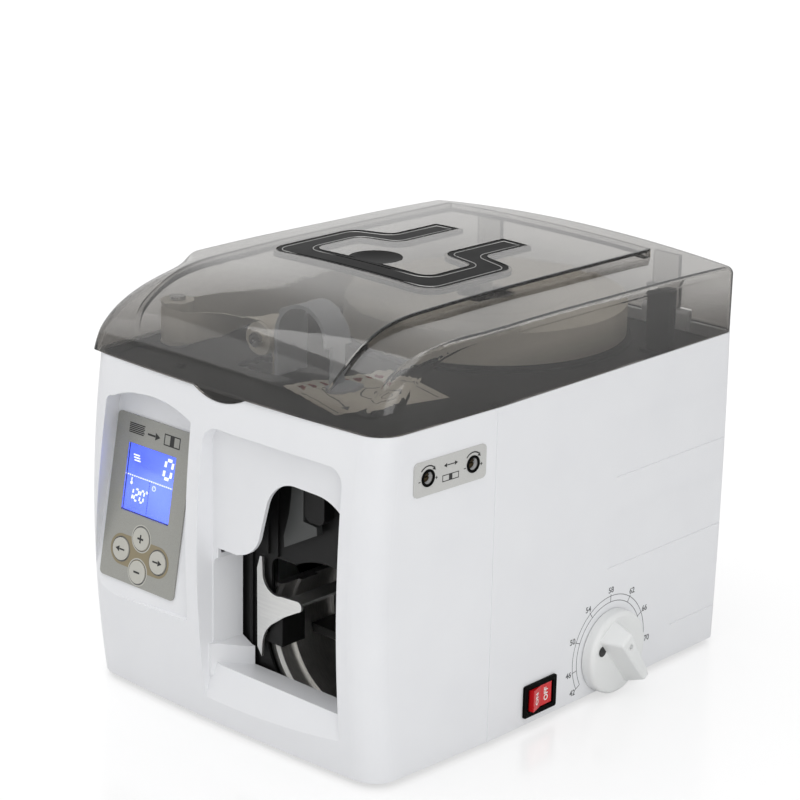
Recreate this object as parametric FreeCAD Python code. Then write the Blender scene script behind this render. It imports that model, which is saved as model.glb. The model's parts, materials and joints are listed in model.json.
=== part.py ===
"""Desktop banknote strapping machine, as separate solids in millimetres, +Z up.

Modelling frame: x = 0 and y = 0 at the middle of the casing's seam outline, z = 0 at
the casing's bottom edge, front towards -Y. Every solid is moved to the row frame when
it is written: origin under the middle of the whole machine, on the surface it rests on.
"""
import FreeCAD, Part
import math
import os

V = FreeCAD.Vector
EX, EY, EZ = V(1, 0, 0), V(0, 1, 0), V(0, 0, 1)

# ---- casing ----
WIDTH = 250.0
DEPTH = 320.5
CASE_H = 206.6
WALL = 3.0
FRONT_BULGE = 8.2
FRONT_BOW = 4.6
REAR_BULGE = 1.8
FRONT_TAPER = 4.0
FRONT_CORNER_R = 18.0
REAR_CORNER_R = 6.0
PARTING_Y = -66.0
PARTING_STEP = 0.4
FOOT_H = 3.0

# ---- display recess, a flat floor that leans back ----
PANEL_LEAN = 10.0
PANEL_Y = -163.6
PANEL_Z = 59.6
PANEL_X = -74.3
RECESS_UNDERCUT = 0.42
PLATE_W, PLATE_H, PLATE_T = 66.5, 102.5, 1.0
PLATE_BOTTOM = 8.5
DISPLAY_W, DISPLAY_H = 42.2, 42.0
DISPLAY_BOTTOM = 51.9
BUTTON_R = 7.1
BUTTON_SPREAD = 16.5
BUTTON_RISE = 10.4
BUTTON_MID = 28.0

# ---- note pocket ----
POCKET_LEFT, POCKET_RIGHT = -16.0, 98.0
POCKET_TOP = 188.0
POCKET_DRAFT = 3.5
POCKET_FLOOR_Y = -157.0
THROAT_Y = -136.0
SILL_Z = 33.0
SILL_FRONT_Z = 36.5
SILL_FOOT = (-162.0, 15.7)
HOOD_EDGE_Z = 104.0

# ---- lid ----
LID_T = 2.6
LID_GAP = 0.4
LID_CROWN_R = 1019.0
LID_EDGE_R = 5.0
FLANK_BEND_R = 300.0
BONNET_HALF_W = 84.5
BONNET_REAR_Y = 121.0
TRIM_X = -4.0
DIMPLE_X, DIMPLE_Y, DIMPLE_R = -7.0, -28.0, 16.5
# centrelines of the lid's two skins, as (y, z) from the rear forwards
SHOULDER_LINE = [(185.0, 253.4), (146.0, 255.1), (104.0, 256.4), (65.0, 257.0), (28.0, 257.4),
                 (-9.0, 257.8), (-45.0, 257.8), (-80.0, 257.5), (-108.0, 256.6), (-122.0, 254.2),
                 (-132.0, 250.9), (-141.0, 246.2), (-148.5, 240.5), (-154.6, 233.4),
                 (-158.7, 226.0), (-160.4, 217.0), (-160.9, 206.0)]
BONNET_LINE = [(121.0, 261.4), (70.0, 261.9), (28.0, 262.3), (-9.0, 262.5), (-45.0, 262.5),
               (-80.0, 262.0), (-107.0, 260.7), (-120.0, 258.2), (-129.0, 255.0),
               (-138.0, 250.6), (-145.0, 246.2), (-151.5, 240.6), (-156.0, 233.6),
               (-158.6, 225.0), (-159.3, 214.0)]
HINGE_Y = DEPTH / 2 - 3.4
HINGE_Z = CASE_H + 4.0
BARREL_R = 3.2
HINGE_X = 74.0
LUG_W, KNUCKLE_W = 10.0, 15.2
HINGE_ARM_W, HINGE_ARM_TOP = 20.0, 246.5
HINGE_PIN_R = 1.2

# ---- deck and paper band ----
DECK_Z = 198.0
DECK_T = 3.0
REEL_X, REEL_Y = 4.0, 62.0
ROLL_R = 88.0
ROLL_Z = 204.8
SPINDLE_R = 4.0
BAND_W = 20.0
BAND_Y = -90.0
BAND_T = 0.3
GUIDE_X, GUIDE_Z = -31.0, 221.0
GUIDE_R = 10.0
CORNER_X, CORNER_Y = -105.4, -98.0
CORNER_R = 9.5
ARCH_X, ARCH_Z = 2.5, 226.0
ARCH_R = 21.5
ARCH_T = 2.5

# ---- feed drive ----
FEED_Z = 172.0
FEED_R = 9.0
NIP_X = GUIDE_X + GUIDE_R + BAND_T + 0.1
GEAR_MODULE = 1.25
FEED_TEETH = 36
MOTOR_TEETH = 12

# ---- mechanism frame and band track ----
FRAME_LEFT, FRAME_RIGHT = -60.0, 114.0
FRAME_TOP = 190.0
FRAME_FRONT_Y, FRAME_REAR_Y = -130.0, -76.0
FRAME_T = 2.0
APRON_Y = FRAME_FRONT_Y - 3.6
TRACK_X, TRACK_Z = 58.5, 61.0
ENTRY_R = 49.0
TRACK_R = 47.0
TRACK_TOP = 86.0
TRACK_STEP_Y = -114.5

# ---- press head ----
PRESS_X = 62.0
PRESS_Z = 108.0
PRESS_PINION_R = 10.0
PRESS_AXIS_Z = 158.0

# ---- dial and note stop ----
DIAL_Y, DIAL_Z = 47.0, 25.0
DIAL_R = 26.5
DIAL_REACH = 23.0
DIAL_SHAFT_R = 3.0
STOP_MODULE = 1.0
STOP_TEETH = 18
STOP_Y = -34.0

# ---- side controls ----
ROCKER_Y, ROCKER_Z = -19.5, 15.0
ROCKER_L, ROCKER_H = 29.8, 20.7
ROCKER_TILT = 9.0
ROCKER_PIVOT = 4.0
TENSION_Y, TENSION_Z = -103.2, 178.0
TENSION_L, TENSION_H = 57.0, 20.3
TENSION_HOLE_R = 3.7
TENSION_SPREAD = 17.8
TAPER_ANGLE = math.degrees(math.atan(FRONT_TAPER / (DEPTH / 2 - FRONT_CORNER_R + PARTING_Y)))

INLET_X, INLET_Z = -62.0, 32.0
INLET_PROUD = 2.6

FRONT_REACH = DEPTH / 2 + FRONT_BULGE - PARTING_STEP - 0.12
ORIGIN = V(DIAL_REACH / 2, (DEPTH / 2 + INLET_PROUD - FRONT_REACH) / 2, -FOOT_H)


# ------------------------------------------------------------------ helpers
def block(x0, y0, z0, x1, y1, z1):
    return Part.makeBox(x1 - x0, y1 - y0, z1 - z0, V(x0, y0, z0))


def rod(base, axis, radius, length):
    return Part.makeCylinder(radius, length, base, axis)


def tube(base, axis, outer, inner, length):
    return rod(base, axis, outer, length).cut(rod(base - axis, axis, inner, length + 2))


def fused(*solids):
    shape = solids[0].fuse(list(solids[1:]))
    return shape.removeSplitter()


def rounded_outline(x0, z0, x1, z1, radius, y):
    """Closed wire of a rounded rectangle standing in the XZ plane at y."""
    r = radius
    c = r * (1 - math.sqrt(0.5))
    corners = [((x1 - r, z0), (x1 - c, z0 + c), (x1, z0 + r)),
               ((x1, z1 - r), (x1 - c, z1 - c), (x1 - r, z1)),
               ((x0 + r, z1), (x0 + c, z1 - c), (x0, z1 - r)),
               ((x0, z0 + r), (x0 + c, z0 + c), (x0 + r, z0))]
    edges = []
    for i, arc in enumerate(corners):
        a, b, end = [V(px, y, pz) for px, pz in arc]
        nx, nz = corners[(i + 1) % 4][0]
        edges.append(Part.Arc(a, b, end).toShape())
        edges.append(Part.LineSegment(end, V(nx, y, nz)).toShape())
    return Part.Wire(edges)


def rounded_bar(x0, z0, x1, z1, radius, y0, y1):
    """A rounded rectangle in XZ, extruded from y0 to y1."""
    face = Part.Face(rounded_outline(x0, z0, x1, z1, radius, y0))
    return face.extrude(V(0, y1 - y0, 0))


def slab(x0, y0, x1, y1, radius, z0, z1):
    """A flat plate with rounded corners in plan."""
    shape = block(x0, y0, z0, x1, y1, z1)
    edges = [e for e in shape.Edges if abs(e.BoundBox.ZLength - (z1 - z0)) < 1e-6]
    return shape.makeFillet(radius, edges)


def prism(points, direction):
    """Extrusion of the closed polygon through points."""
    return Part.Face(Part.makePolygon(points + points[:1])).extrude(direction)


def rounded_polygon(corners, z):
    """Face in plan through (x, y, radius) corners, each bend an arc of its radius."""
    edges, bends = [], []
    count = len(corners)
    for i, (x, y, radius) in enumerate(corners):
        corner = V(x, y, z)
        back = (V(*corners[i - 1][:2], z) - corner).normalize()
        ahead = (V(*corners[(i + 1) % count][:2], z) - corner).normalize()
        half = back.getAngle(ahead) / 2
        run = radius / math.tan(half)
        middle = corner + (back + ahead).normalize() * (radius / math.sin(half) - radius)
        bends.append((corner + back * run, middle, corner + ahead * run))
    for i, (start, middle, end) in enumerate(bends):
        if corners[i][2]:
            edges.append(Part.Arc(start, middle, end).toShape())
        edges.append(Part.LineSegment(end, bends[(i + 1) % count][0]).toShape())
    return Part.Face(Part.Wire(edges))


def on_panel(shape):
    """Move a shape from the panel's own frame (x right, y inwards, z up) to the casing."""
    shape.rotate(V(0, 0, 0), EX, -PANEL_LEAN)
    shape.translate(V(PANEL_X, PANEL_Y, PANEL_Z))
    return shape


def on_flank(shape):
    """Move a shape from the tapered flank's frame (x outwards) to the casing."""
    shape.rotate(V(0, 0, 0), EZ, -TAPER_ANGLE)
    reach = FRONT_TAPER * (TENSION_Y - PARTING_Y) / (DEPTH / 2 - FRONT_CORNER_R + PARTING_Y)
    shape.translate(V(WIDTH / 2 + reach - PARTING_STEP, TENSION_Y, TENSION_Z))
    return shape


def involute_gear(teeth, module, width, bore_r=0.0, backlash=0.35):
    """Spur gear about +Y, centred on the origin, with thinned involute teeth."""
    pitch = module * teeth / 2
    base = pitch * math.cos(math.radians(20))
    tip, root = pitch + 0.9 * module, pitch - 1.2 * module
    roll = math.tan(math.radians(20)) - math.radians(20)
    half = math.pi / (2 * teeth) + roll - backlash / (2 * pitch)
    points = []
    for k in range(teeth):
        middle = 2 * math.pi * k / teeth
        flank = []
        for step in range(4):
            radius = base + (tip - base) * step / 3
            t = math.sqrt(max((radius / base) ** 2 - 1, 0))
            flank.append((radius, half - (t - math.atan(t))))
        side = [(root, half)] + flank
        outline = [(r, -a) for r, a in side] + [(r, a) for r, a in reversed(side)]
        points += [V(r * math.sin(middle + a), 0, r * math.cos(middle + a)) for r, a in outline]
    gear = prism(points, V(0, width, 0))
    if bore_r:
        gear = gear.cut(rod(V(0, -1, 0), EY, bore_r, width + 2))
    return gear


# ------------------------------------------------------------------ casing
def front_face_radius():
    half = CASE_H / 2
    return (half ** 2 + FRONT_BULGE ** 2) / (2 * FRONT_BULGE)


def front_barrel(inset):
    """Everything behind the double-curved front face, pushed back by inset."""
    radius = front_face_radius()
    reach = 12.0
    mid_y = -DEPTH / 2 - FRONT_BULGE + inset
    half = CASE_H / 2 + reach
    edge_y = mid_y + radius - math.sqrt(radius ** 2 - half ** 2)
    back_y = DEPTH / 2 + 2 * reach
    low, high = -reach, CASE_H + reach
    face = Part.Face(Part.Wire([
        Part.Arc(V(0, edge_y, low), V(0, mid_y, CASE_H / 2), V(0, edge_y, high)).toShape(),
        Part.LineSegment(V(0, edge_y, high), V(0, back_y, high)).toShape(),
        Part.LineSegment(V(0, back_y, high), V(0, back_y, low)).toShape(),
        Part.LineSegment(V(0, back_y, low), V(0, edge_y, low)).toShape()]))
    bow_r = ((WIDTH / 2) ** 2 + FRONT_BOW ** 2) / (2 * FRONT_BOW)
    axis_y = -DEPTH / 2 - FRONT_BULGE + bow_r
    swing = 7.0
    face.rotate(V(0, axis_y, 0), EZ, -swing)
    return face.revolve(V(0, axis_y, 0), EZ, 2 * swing)


def rear_barrel(inset):
    """Everything in front of the slightly bulged rear wall."""
    reach = 12.0
    edge_y = DEPTH / 2 - inset
    radius = (CASE_H / 2) ** 2 / (2 * REAR_BULGE)
    half = CASE_H / 2 + reach
    far_y = edge_y + REAR_BULGE - half ** 2 / (2 * radius)
    low, high = -reach, CASE_H + reach
    x0 = -WIDTH / 2 - reach
    face = Part.Face(Part.Wire([
        Part.Arc(V(x0, far_y, low), V(x0, edge_y + REAR_BULGE, CASE_H / 2),
                 V(x0, far_y, high)).toShape(),
        Part.LineSegment(V(x0, far_y, high), V(x0, -DEPTH, high)).toShape(),
        Part.LineSegment(V(x0, -DEPTH, high), V(x0, -DEPTH, low)).toShape(),
        Part.LineSegment(V(x0, -DEPTH, low), V(x0, far_y, low)).toShape()]))
    return face.extrude(V(WIDTH + 2 * reach, 0, 0))


def flank_prism(inset, low, high):
    """Straight-sided plan of the casing, tapered in front of the parting line."""
    half = WIDTH / 2 - inset
    run = DEPTH / 2 - FRONT_CORNER_R + PARTING_Y
    rear, front = DEPTH, -DEPTH
    nose = half - FRONT_TAPER * (PARTING_Y - front) / run
    points = [V(-half, rear, low), V(half, rear, low), V(half, PARTING_Y, low),
              V(nose, front, low), V(-nose, front, low), V(-half, PARTING_Y, low)]
    return prism(points, V(0, 0, high - low))


def bent_flank_prism(inset, low, high):
    """The same plan with the flank's bend rounded, for one unbroken lid edge."""
    half = WIDTH / 2 - inset
    lean = math.radians(TAPER_ANGLE)
    reach = FLANK_BEND_R * math.tan(lean / 2)
    rear, front = DEPTH, -DEPTH
    nose = half - math.tan(lean) * (PARTING_Y - front)

    def flank(side):
        before = V(side * half, PARTING_Y + reach, low)
        middle = V(side * (half - FLANK_BEND_R * (1 - math.cos(lean / 2))),
                   PARTING_Y + reach - FLANK_BEND_R * math.sin(lean / 2), low)
        after = V(side * (half - reach * math.sin(lean)),
                  PARTING_Y - reach * math.cos(lean), low)
        return [Part.LineSegment(V(side * half, rear, low), before).toShape(),
                Part.Arc(before, middle, after).toShape(),
                Part.LineSegment(after, V(side * nose, front, low)).toShape()]

    ends = [Part.LineSegment(V(-half, rear, low), V(half, rear, low)).toShape(),
            Part.LineSegment(V(-nose, front, low), V(nose, front, low)).toShape()]
    edges = Part.__sortEdges__(flank(-1) + flank(1) + ends)
    return Part.Face(Part.Wire(edges)).extrude(V(0, 0, high - low))


def upright_edges(shape, front):
    """Edges that run up the casing's corners."""
    tallest = max(edge.BoundBox.ZLength for edge in shape.Edges)
    found = []
    for edge in shape.Edges:
        box = edge.BoundBox
        outer = abs(box.Center.x) > WIDTH / 2 - 25
        at_end = box.Center.y < -DEPTH / 2 + 25 if front else box.Center.y > DEPTH / 2 - 25
        if box.ZLength > 0.8 * tallest and outer and at_end:
            found.append(edge)
    return found


def case_block(inset, low=0.0, high=CASE_H):
    """The casing's outer form, shrunk by inset on every upright face."""
    shape = flank_prism(inset, low, high).common(front_barrel(inset)).common(rear_barrel(inset))
    shape = shape.makeFillet(FRONT_CORNER_R - inset, upright_edges(shape, True))
    return shape.makeFillet(max(REAR_CORNER_R - inset, 1.0), upright_edges(shape, False))


def half_space(y0, y1):
    return block(-WIDTH, y0, -50, WIDTH, y1, 400)


def display_recess(grow, back):
    """Arched recess whose floor leans back; grow and back give the form of its walls."""
    y0 = -DEPTH / 2 - 60
    left_foot, left_top = V(-112, y0, 57), V(-99, y0, 178)
    arch_in, arch_mid, arch_out = V(-93, y0, 184), V(-64, y0, 191.5), V(-24.5, y0, 184.5)
    right_foot = V(-24.5, y0, 62)
    corner_mid = V(-97.4, y0, 182.4)
    edges = [Part.LineSegment(left_foot, left_top), Part.Arc(left_top, corner_mid, arch_in),
             Part.Arc(arch_in, arch_mid, arch_out), Part.LineSegment(arch_out, right_foot),
             Part.LineSegment(right_foot, left_foot)]
    outline = Part.Wire([edge.toShape() for edge in edges])
    if grow:
        outline = outline.makeOffset2D(grow)
    face = Part.Face(outline)
    column = face.extrude(V(0, 120, 0))
    undercut = face.copy()
    undercut.translate(V(RECESS_UNDERCUT * (-DEPTH / 2 - FRONT_BULGE + 2 - y0), 0, 0))
    undercut = undercut.extrude(V(-RECESS_UNDERCUT * 120, 120, 0))
    column = column.fuse(undercut.common(block(-WIDTH / 2, y0, 0, PANEL_X, 0, CASE_H)))
    half = 160.0
    return column.common(on_panel(block(-half, -100, -half, half, back, half)))


def pocket_form(grow):
    """Hollow of the note pocket; grow > 0 gives the form of its walls."""
    g, d = grow, POCKET_DRAFT
    mouth_y, back_y = -180.0, POCKET_FLOOR_Y + g
    left, right = POCKET_LEFT - g, POCKET_RIGHT + g
    sill = SILL_FRONT_Z - g
    mouth = rounded_outline(left - 1, sill, right + 1, POCKET_TOP + g + 1, 12.0, mouth_y)
    hood = rounded_outline(left + d, sill, right - d, POCKET_TOP + g - d, 10.0, back_y)
    upper = Part.makeLoft([mouth, hood], True, True)
    top = HOOD_EDGE_Z + g
    start = rounded_outline(left + d, sill + 1, right - d, top, 5.0, POCKET_FLOOR_Y - 6)
    throat = rounded_outline(left + 2 * d, SILL_Z - g, right - 2 * d, top, 5.0,
                             THROAT_Y + (1.0 if g == 0 else 0))
    throat = Part.makeLoft([start, throat], True, True)
    return upper.fuse([throat, sill_slope(g, mouth_y)])


def sill_slope(grow, mouth_y):
    """Steep run from the casing's front up to the pocket's sill, between the side walls."""
    g, d = grow, POCKET_DRAFT
    left, right = POCKET_LEFT - g, POCKET_RIGHT + g
    foot_y, foot_z = SILL_FOOT
    steep = (SILL_FRONT_Z - foot_z) / (POCKET_FLOOR_Y - foot_y)
    low, high = -20.0, 60.0
    plan = prism([V(left - 1, mouth_y, low), V(right + 1, mouth_y, low),
                  V(right - d, POCKET_FLOOR_Y + g, low), V(left + d, POCKET_FLOOR_Y + g, low)],
                 V(0, 0, high - low))
    at_low = foot_y + g - (foot_z - low) / steep
    side = prism([V(-WIDTH, mouth_y - 10, low), V(-WIDTH, at_low, low),
                  V(-WIDTH, POCKET_FLOOR_Y + g, SILL_FRONT_Z), V(-WIDTH, POCKET_FLOOR_Y + g, high),
                  V(-WIDTH, mouth_y - 10, high)], V(2 * WIDTH, 0, 0))
    return plan.common(side)


def pocket_ledge():
    """Low moulded step in the pocket's left corner, widening towards the back."""
    low = SILL_Z - 4
    plan = prism([V(POCKET_LEFT + 1, -160, low), V(-11.2, -160, low), V(1.4, -136, low),
                  V(-12, -136, low)], V(0, 0, 30))
    front = prism([V(-25, -165, low - 1), V(10, -165, low - 1), V(10, -165, 43.5),
                   V(-1, -165, 45.0), V(-9, -165, 49.0), V(-25, -165, 50.0)], V(0, 32, 0))
    return plan.common(front)


def hood_window():
    """Arched upper part of the mouth, open down through the hood's floor."""
    y0, y1 = POCKET_FLOOR_Y - 4, POCKET_FLOOR_Y + 6
    low, side = HOOD_EDGE_Z - 8, POCKET_RIGHT - 5
    edges = [Part.LineSegment(V(-8, y0, low), V(side, y0, low)),
             Part.LineSegment(V(side, y0, low), V(side, y0, 155)),
             Part.Arc(V(side, y0, 155), V(84.5, y0, 161), V(73, y0, 163.8)),
             Part.LineSegment(V(73, y0, 163.8), V(54, y0, 164.2)),
             Part.Arc(V(54, y0, 164.2), V(39.5, y0, 158.4), V(31.9, y0, 146)),
             Part.LineSegment(V(31.9, y0, 146), V(27.0, y0, 128)),
             Part.Arc(V(27.0, y0, 128), V(22.4, y0, 118), V(13, y0, 111.6)),
             Part.LineSegment(V(13, y0, 111.6), V(-8, y0, 105.3)),
             Part.LineSegment(V(-8, y0, 105.3), V(-8, y0, low))]
    face = Part.Face(Part.Wire([e.toShape() for e in edges]))
    ceiling = block(-8, y0, HOOD_EDGE_Z - 2, side, THROAT_Y + 2, HOOD_EDGE_Z + 6)
    return face.extrude(V(0, y1 - y0, 0)).fuse(ceiling)


def lip_notch(clearance):
    """Segment below the seam that the lid's finger lip fills."""
    half, drop = 21.0 + clearance, 5.0 + clearance
    mid = -4.0
    top = CASE_H + 1
    y0 = -DEPTH / 2 - 6
    wire = Part.Wire([
        Part.Arc(V(mid - half, y0, CASE_H), V(mid, y0, CASE_H - drop),
                 V(mid + half, y0, CASE_H)).toShape(),
        Part.LineSegment(V(mid + half, y0, CASE_H), V(mid + half, y0, top)).toShape(),
        Part.LineSegment(V(mid + half, y0, top), V(mid - half, y0, top)).toShape(),
        Part.LineSegment(V(mid - half, y0, top), V(mid - half, y0, CASE_H)).toShape()])
    return Part.Face(wire).extrude(V(0, 14, 0))


def front_bezel():
    skin = case_block(PARTING_STEP).cut(case_block(WALL + PARTING_STEP, -1, CASE_H + 1))
    front = case_block(PARTING_STEP)
    boss = display_recess(2.5, WALL).common(front)
    walls = pocket_form(2.5).common(front)
    bezel = skin.fuse([boss, walls] + deck_ledges([(-1, -100), (1, -110)]))
    bezel = bezel.cut([display_recess(0, 0), pocket_form(0), hood_window(), lip_notch(0.4)])
    bezel = bezel.fuse(pocket_ledge())
    bezel = bezel.common(half_space(-DEPTH, PARTING_Y))
    return bezel.cut([panel_opening(), flank_opening()])


def panel_opening():
    """Holes in the recess floor for the display and the four buttons."""
    margin = 0.4
    holes = [block(-DISPLAY_W / 2 - margin, -2, DISPLAY_BOTTOM - margin,
                   DISPLAY_W / 2 + margin, 12, DISPLAY_BOTTOM + DISPLAY_H + margin)]
    holes += [rod(V(x, -2, z), EY, BUTTON_R + margin, 14) for x, z in button_centres()]
    return on_panel(holes[0].fuse(holes[1:]))


def button_centres():
    """Plus, minus, left and right, in the panel's frame."""
    return [(0.0, BUTTON_MID + BUTTON_RISE), (0.0, BUTTON_MID - BUTTON_RISE),
            (-BUTTON_SPREAD, BUTTON_MID), (BUTTON_SPREAD, BUTTON_MID)]


def flank_opening():
    """The two adjuster holes behind the tension plate."""
    holes = [rod(V(-12, s * TENSION_SPREAD, 0), EX, TENSION_HOLE_R, 20) for s in (-1, 1)]
    return on_flank(holes[0].fuse(holes[1]))


def side_recess(y_low, y_high, z0, z1):
    """A shallow panel on the right flank, open at the rear edge."""
    depth = 0.7
    x = WIDTH / 2
    points = [V(x - depth, y_low, z0), V(x - depth, y_high, z1), V(x - depth, DEPTH, z1),
              V(x - depth, DEPTH, z0)]
    return prism(points, V(2 * depth, 0, 0))


def side_recesses():
    """Three stacked panels on each flank."""
    bands = [(47.0, 47.0, 137.0, 174.0), (42.0, 47.0, 79.0, 115.5), (110.0, 116.0, 22.5, 56.0)]
    cuts = [side_recess(*band) for band in bands]
    right = cuts[0].fuse(cuts[1:])
    left = right.mirror(V(0, 0, 0), EX)
    return [right, left]


def deck_ledges(places):
    """Ribbed brackets on the flanks that the deck rests on."""
    ledges = []
    for side, y in places:
        wall = WIDTH / 2 - WALL + 0.5
        if y < PARTING_Y:
            wall -= PARTING_STEP + math.tan(math.radians(TAPER_ANGLE)) * (PARTING_Y - y)
        top, deep = DECK_Z, 9.0
        points = [V(side * wall, y - 4, top), V(side * (wall - deep), y - 4, top),
                  V(side * (wall - deep), y - 4, top - 3), V(side * wall, y - 4, top - 14)]
        ledges.append(prism(points, V(0, 8, 0)))
    return ledges


def lug_starts():
    """Left ends of the casing's four hinge lugs, two beside each lid knuckle."""
    beside = KNUCKLE_W / 2 + 0.4
    return [side * HINGE_X + d for side in (-1, 1) for d in (-beside - LUG_W, beside)]


def hinge_lugs():
    """Two pairs of moulded knuckles on the rear wall, bored for the pins."""
    lugs = []
    for x0 in lug_starts():
        barrel = rod(V(x0, HINGE_Y, HINGE_Z), EX, BARREL_R, LUG_W)
        stem = block(x0, HINGE_Y - BARREL_R, CASE_H - 12, x0 + LUG_W, HINGE_Y + BARREL_R, HINGE_Z)
        lugs.append(barrel.fuse(stem).cut(rod(V(x0 - 1, HINGE_Y, HINGE_Z), EX, HINGE_PIN_R,
                                              LUG_W + 2)))
    return lugs


def vent_slots():
    """Cooling slots across the rear wall."""
    pitch, width, count = 9.0, 3.6, 6
    slots = [rounded_bar(20, 92 + k * pitch, 96, 92 + k * pitch + width, width / 2 - 0.01,
                         DEPTH / 2 - 8, DEPTH / 2 + 6) for k in range(count)]
    return slots


def rear_housing():
    shell = case_block(0.0).cut(case_block(WALL, -1, CASE_H + 1))
    shell = shell.common(half_space(PARTING_Y, DEPTH))
    shell = shell.fuse(hinge_lugs())
    boss = rod(V(WIDTH / 2 - 9, DIAL_Y, DIAL_Z), EX, 7.0, 8.0)
    ledges = deck_ledges([(-1, -40), (-1, 60), (-1, 130), (1, -40), (1, 60), (1, 130)])
    shell = shell.fuse([boss] + ledges)
    cuts = side_recesses() + vent_slots()
    cuts.append(rod(V(WIDTH / 2 - 20, DIAL_Y, DIAL_Z), EX, DIAL_SHAFT_R + 0.06, 40))
    cuts.append(rocker_cutout())
    cuts.append(inlet_cutout())
    return shell.cut(cuts).removeSplitter()


def rocker_cutout():
    margin = 1.6
    return block(WIDTH / 2 - 12, ROCKER_Y - ROCKER_L / 2 + margin, ROCKER_Z - ROCKER_H / 2 + margin,
                 WIDTH / 2 + 5, ROCKER_Y + ROCKER_L / 2 - margin, ROCKER_Z + ROCKER_H / 2 - margin)


def inlet_cutout():
    """Hole for the inlet's body and a flat seat for its flange."""
    hole = rounded_bar(INLET_X - 14, INLET_Z - 10.5, INLET_X + 14, INLET_Z + 10.5, 3.0,
                       DEPTH / 2 - 12, DEPTH / 2 + 8)
    seat = rounded_bar(INLET_X - 25.4, INLET_Z - 12.4, INLET_X + 25.4, INLET_Z + 12.4, 5.4,
                       DEPTH / 2, DEPTH / 2 + 8)
    return hole.fuse(seat)


def base_plate():
    """Folded steel tray that closes the bottom."""
    low, sheet, lip = 1.0, 1.5, 9.0
    inset = WALL + PARTING_STEP
    tray = case_block(inset, low, low + lip).cut(case_block(inset + sheet, low + sheet, low + 20))
    slots = [slab(-80 + k * 14, 40, -74 + k * 14, 96, 2.9, 0, 6) for k in range(6)]
    holes = [rod(V(x, y, -1), EZ, 2.2, 8) for x, y in foot_places()]
    notch = block(WIDTH / 2 - 9, ROCKER_Y - ROCKER_L / 2 + 0.4, 4.0,
                  WIDTH / 2, ROCKER_Y + ROCKER_L / 2 - 0.4, low + lip + 1)
    return tray.cut(slots + holes + [notch])


def foot_places():
    return [(x, y) for x in (-104.0, 104.0) for y in (-128.0, 138.0)]


def rubber_feet():
    """Turned feet with a recessed screw seat, all four in one node."""
    seat_z = 1.0
    profile = [V(2.4, 0, seat_z), V(10, 0, seat_z), V(9, 0, -FOOT_H), V(5, 0, -FOOT_H),
               V(5, 0, -0.6), V(2.4, 0, -0.6)]
    foot = Part.Face(Part.makePolygon(profile + profile[:1])).revolve(V(0, 0, 0), EZ, 360)
    feet = []
    for x, y in foot_places():
        copy = foot.copy()
        copy.translate(V(x, y, 0))
        feet.append(copy)
    return Part.makeCompound(feet)


def deck_plate():
    """Moulded floor under the lid, with the reel well and the band slot."""
    inset = WALL + PARTING_STEP
    top = CASE_H - 1.5
    deck = case_block(inset, DECK_Z, top).cut(case_block(inset + 1.6, DECK_Z + DECK_T, CASE_H))
    well = tube(V(REEL_X, REEL_Y, DECK_Z + 1), EZ, ROLL_R + 4.0, ROLL_R + 2.4, DECK_T + 1.0)
    well = well.common(block(-114, -40, DECK_Z, 114, 148, top))
    slot = slab(GUIDE_X - 20, BAND_Y - 12, GUIDE_X + 11, BAND_Y + 12, 3.0, DECK_Z - 1, DECK_Z + 6)
    rear = block(-WIDTH, HINGE_Y - BARREL_R - 0.5, 0, WIDTH, DEPTH, 300)
    bore = rod(V(REEL_X, REEL_Y, DECK_Z - 1), EZ, SPINDLE_R + 0.02, DECK_T + 2)
    return deck.fuse(well).cut([slot, rear, bore])


# ------------------------------------------------------------------ lid
def lid_profile(knots, offset, rear_y):
    """Closed face in the YZ plane under a centreline profile moved inwards by offset."""
    curve = Part.BSplineCurve()
    curve.interpolate([V(0, y, z) for y, z in knots])
    moved = []
    for y, z in knots:
        along = curve.tangent(curve.parameter(V(0, y, z)))[0]
        moved.append(V(0, y, z) + V(0, -along.z, along.y).normalize() * offset)
    top = Part.BSplineCurve()
    top.interpolate(moved)
    deep = moved[-1].z - 60
    start, end = moved[0], moved[-1]
    corners = [end, V(0, end.y, deep), V(0, rear_y, deep), start]
    edges = [top.toShape()]
    edges += [Part.LineSegment(a, b).toShape() for a, b in zip(corners, corners[1:])]
    return Part.Face(Part.Wire(edges))


def crowned(face):
    """Sweep a lid profile sideways about a leaning axis: top crown and front bow in one."""
    lean = V(0, 1, 1).normalize()
    anchor = V(0, -150, 250) + V(0, 1, -1).normalize() * LID_CROWN_R
    swing = 11.0
    turned = face.copy()
    turned.rotate(anchor, lean, -swing)
    return turned.revolve(anchor, lean, 2 * swing)


def shoulder_form(offset):
    """Everything under the lid's main skin."""
    return crowned(lid_profile(SHOULDER_LINE, offset, SHOULDER_LINE[0][0]))


def bonnet_form(offset):
    """Everything under the raised bonnet's skin."""
    return crowned(lid_profile(BONNET_LINE, offset, BONNET_LINE[0][0] + 12.0))


def lid_block(offset, low):
    """Outer (offset 0) or inner form of the lid, down to the height low."""
    shoulders = rounded_shoulders(shoulder_form(offset).common(lid_plan(offset, low)), offset)
    half = BONNET_HALF_W - offset
    front, rear = -DEPTH / 2 + 2 + offset, BONNET_REAR_Y + 12 - offset
    track = slab(-half, front, half, rear, 12.0, low, 300)
    return shoulders.fuse(bonnet_form(offset).common(track))


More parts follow.
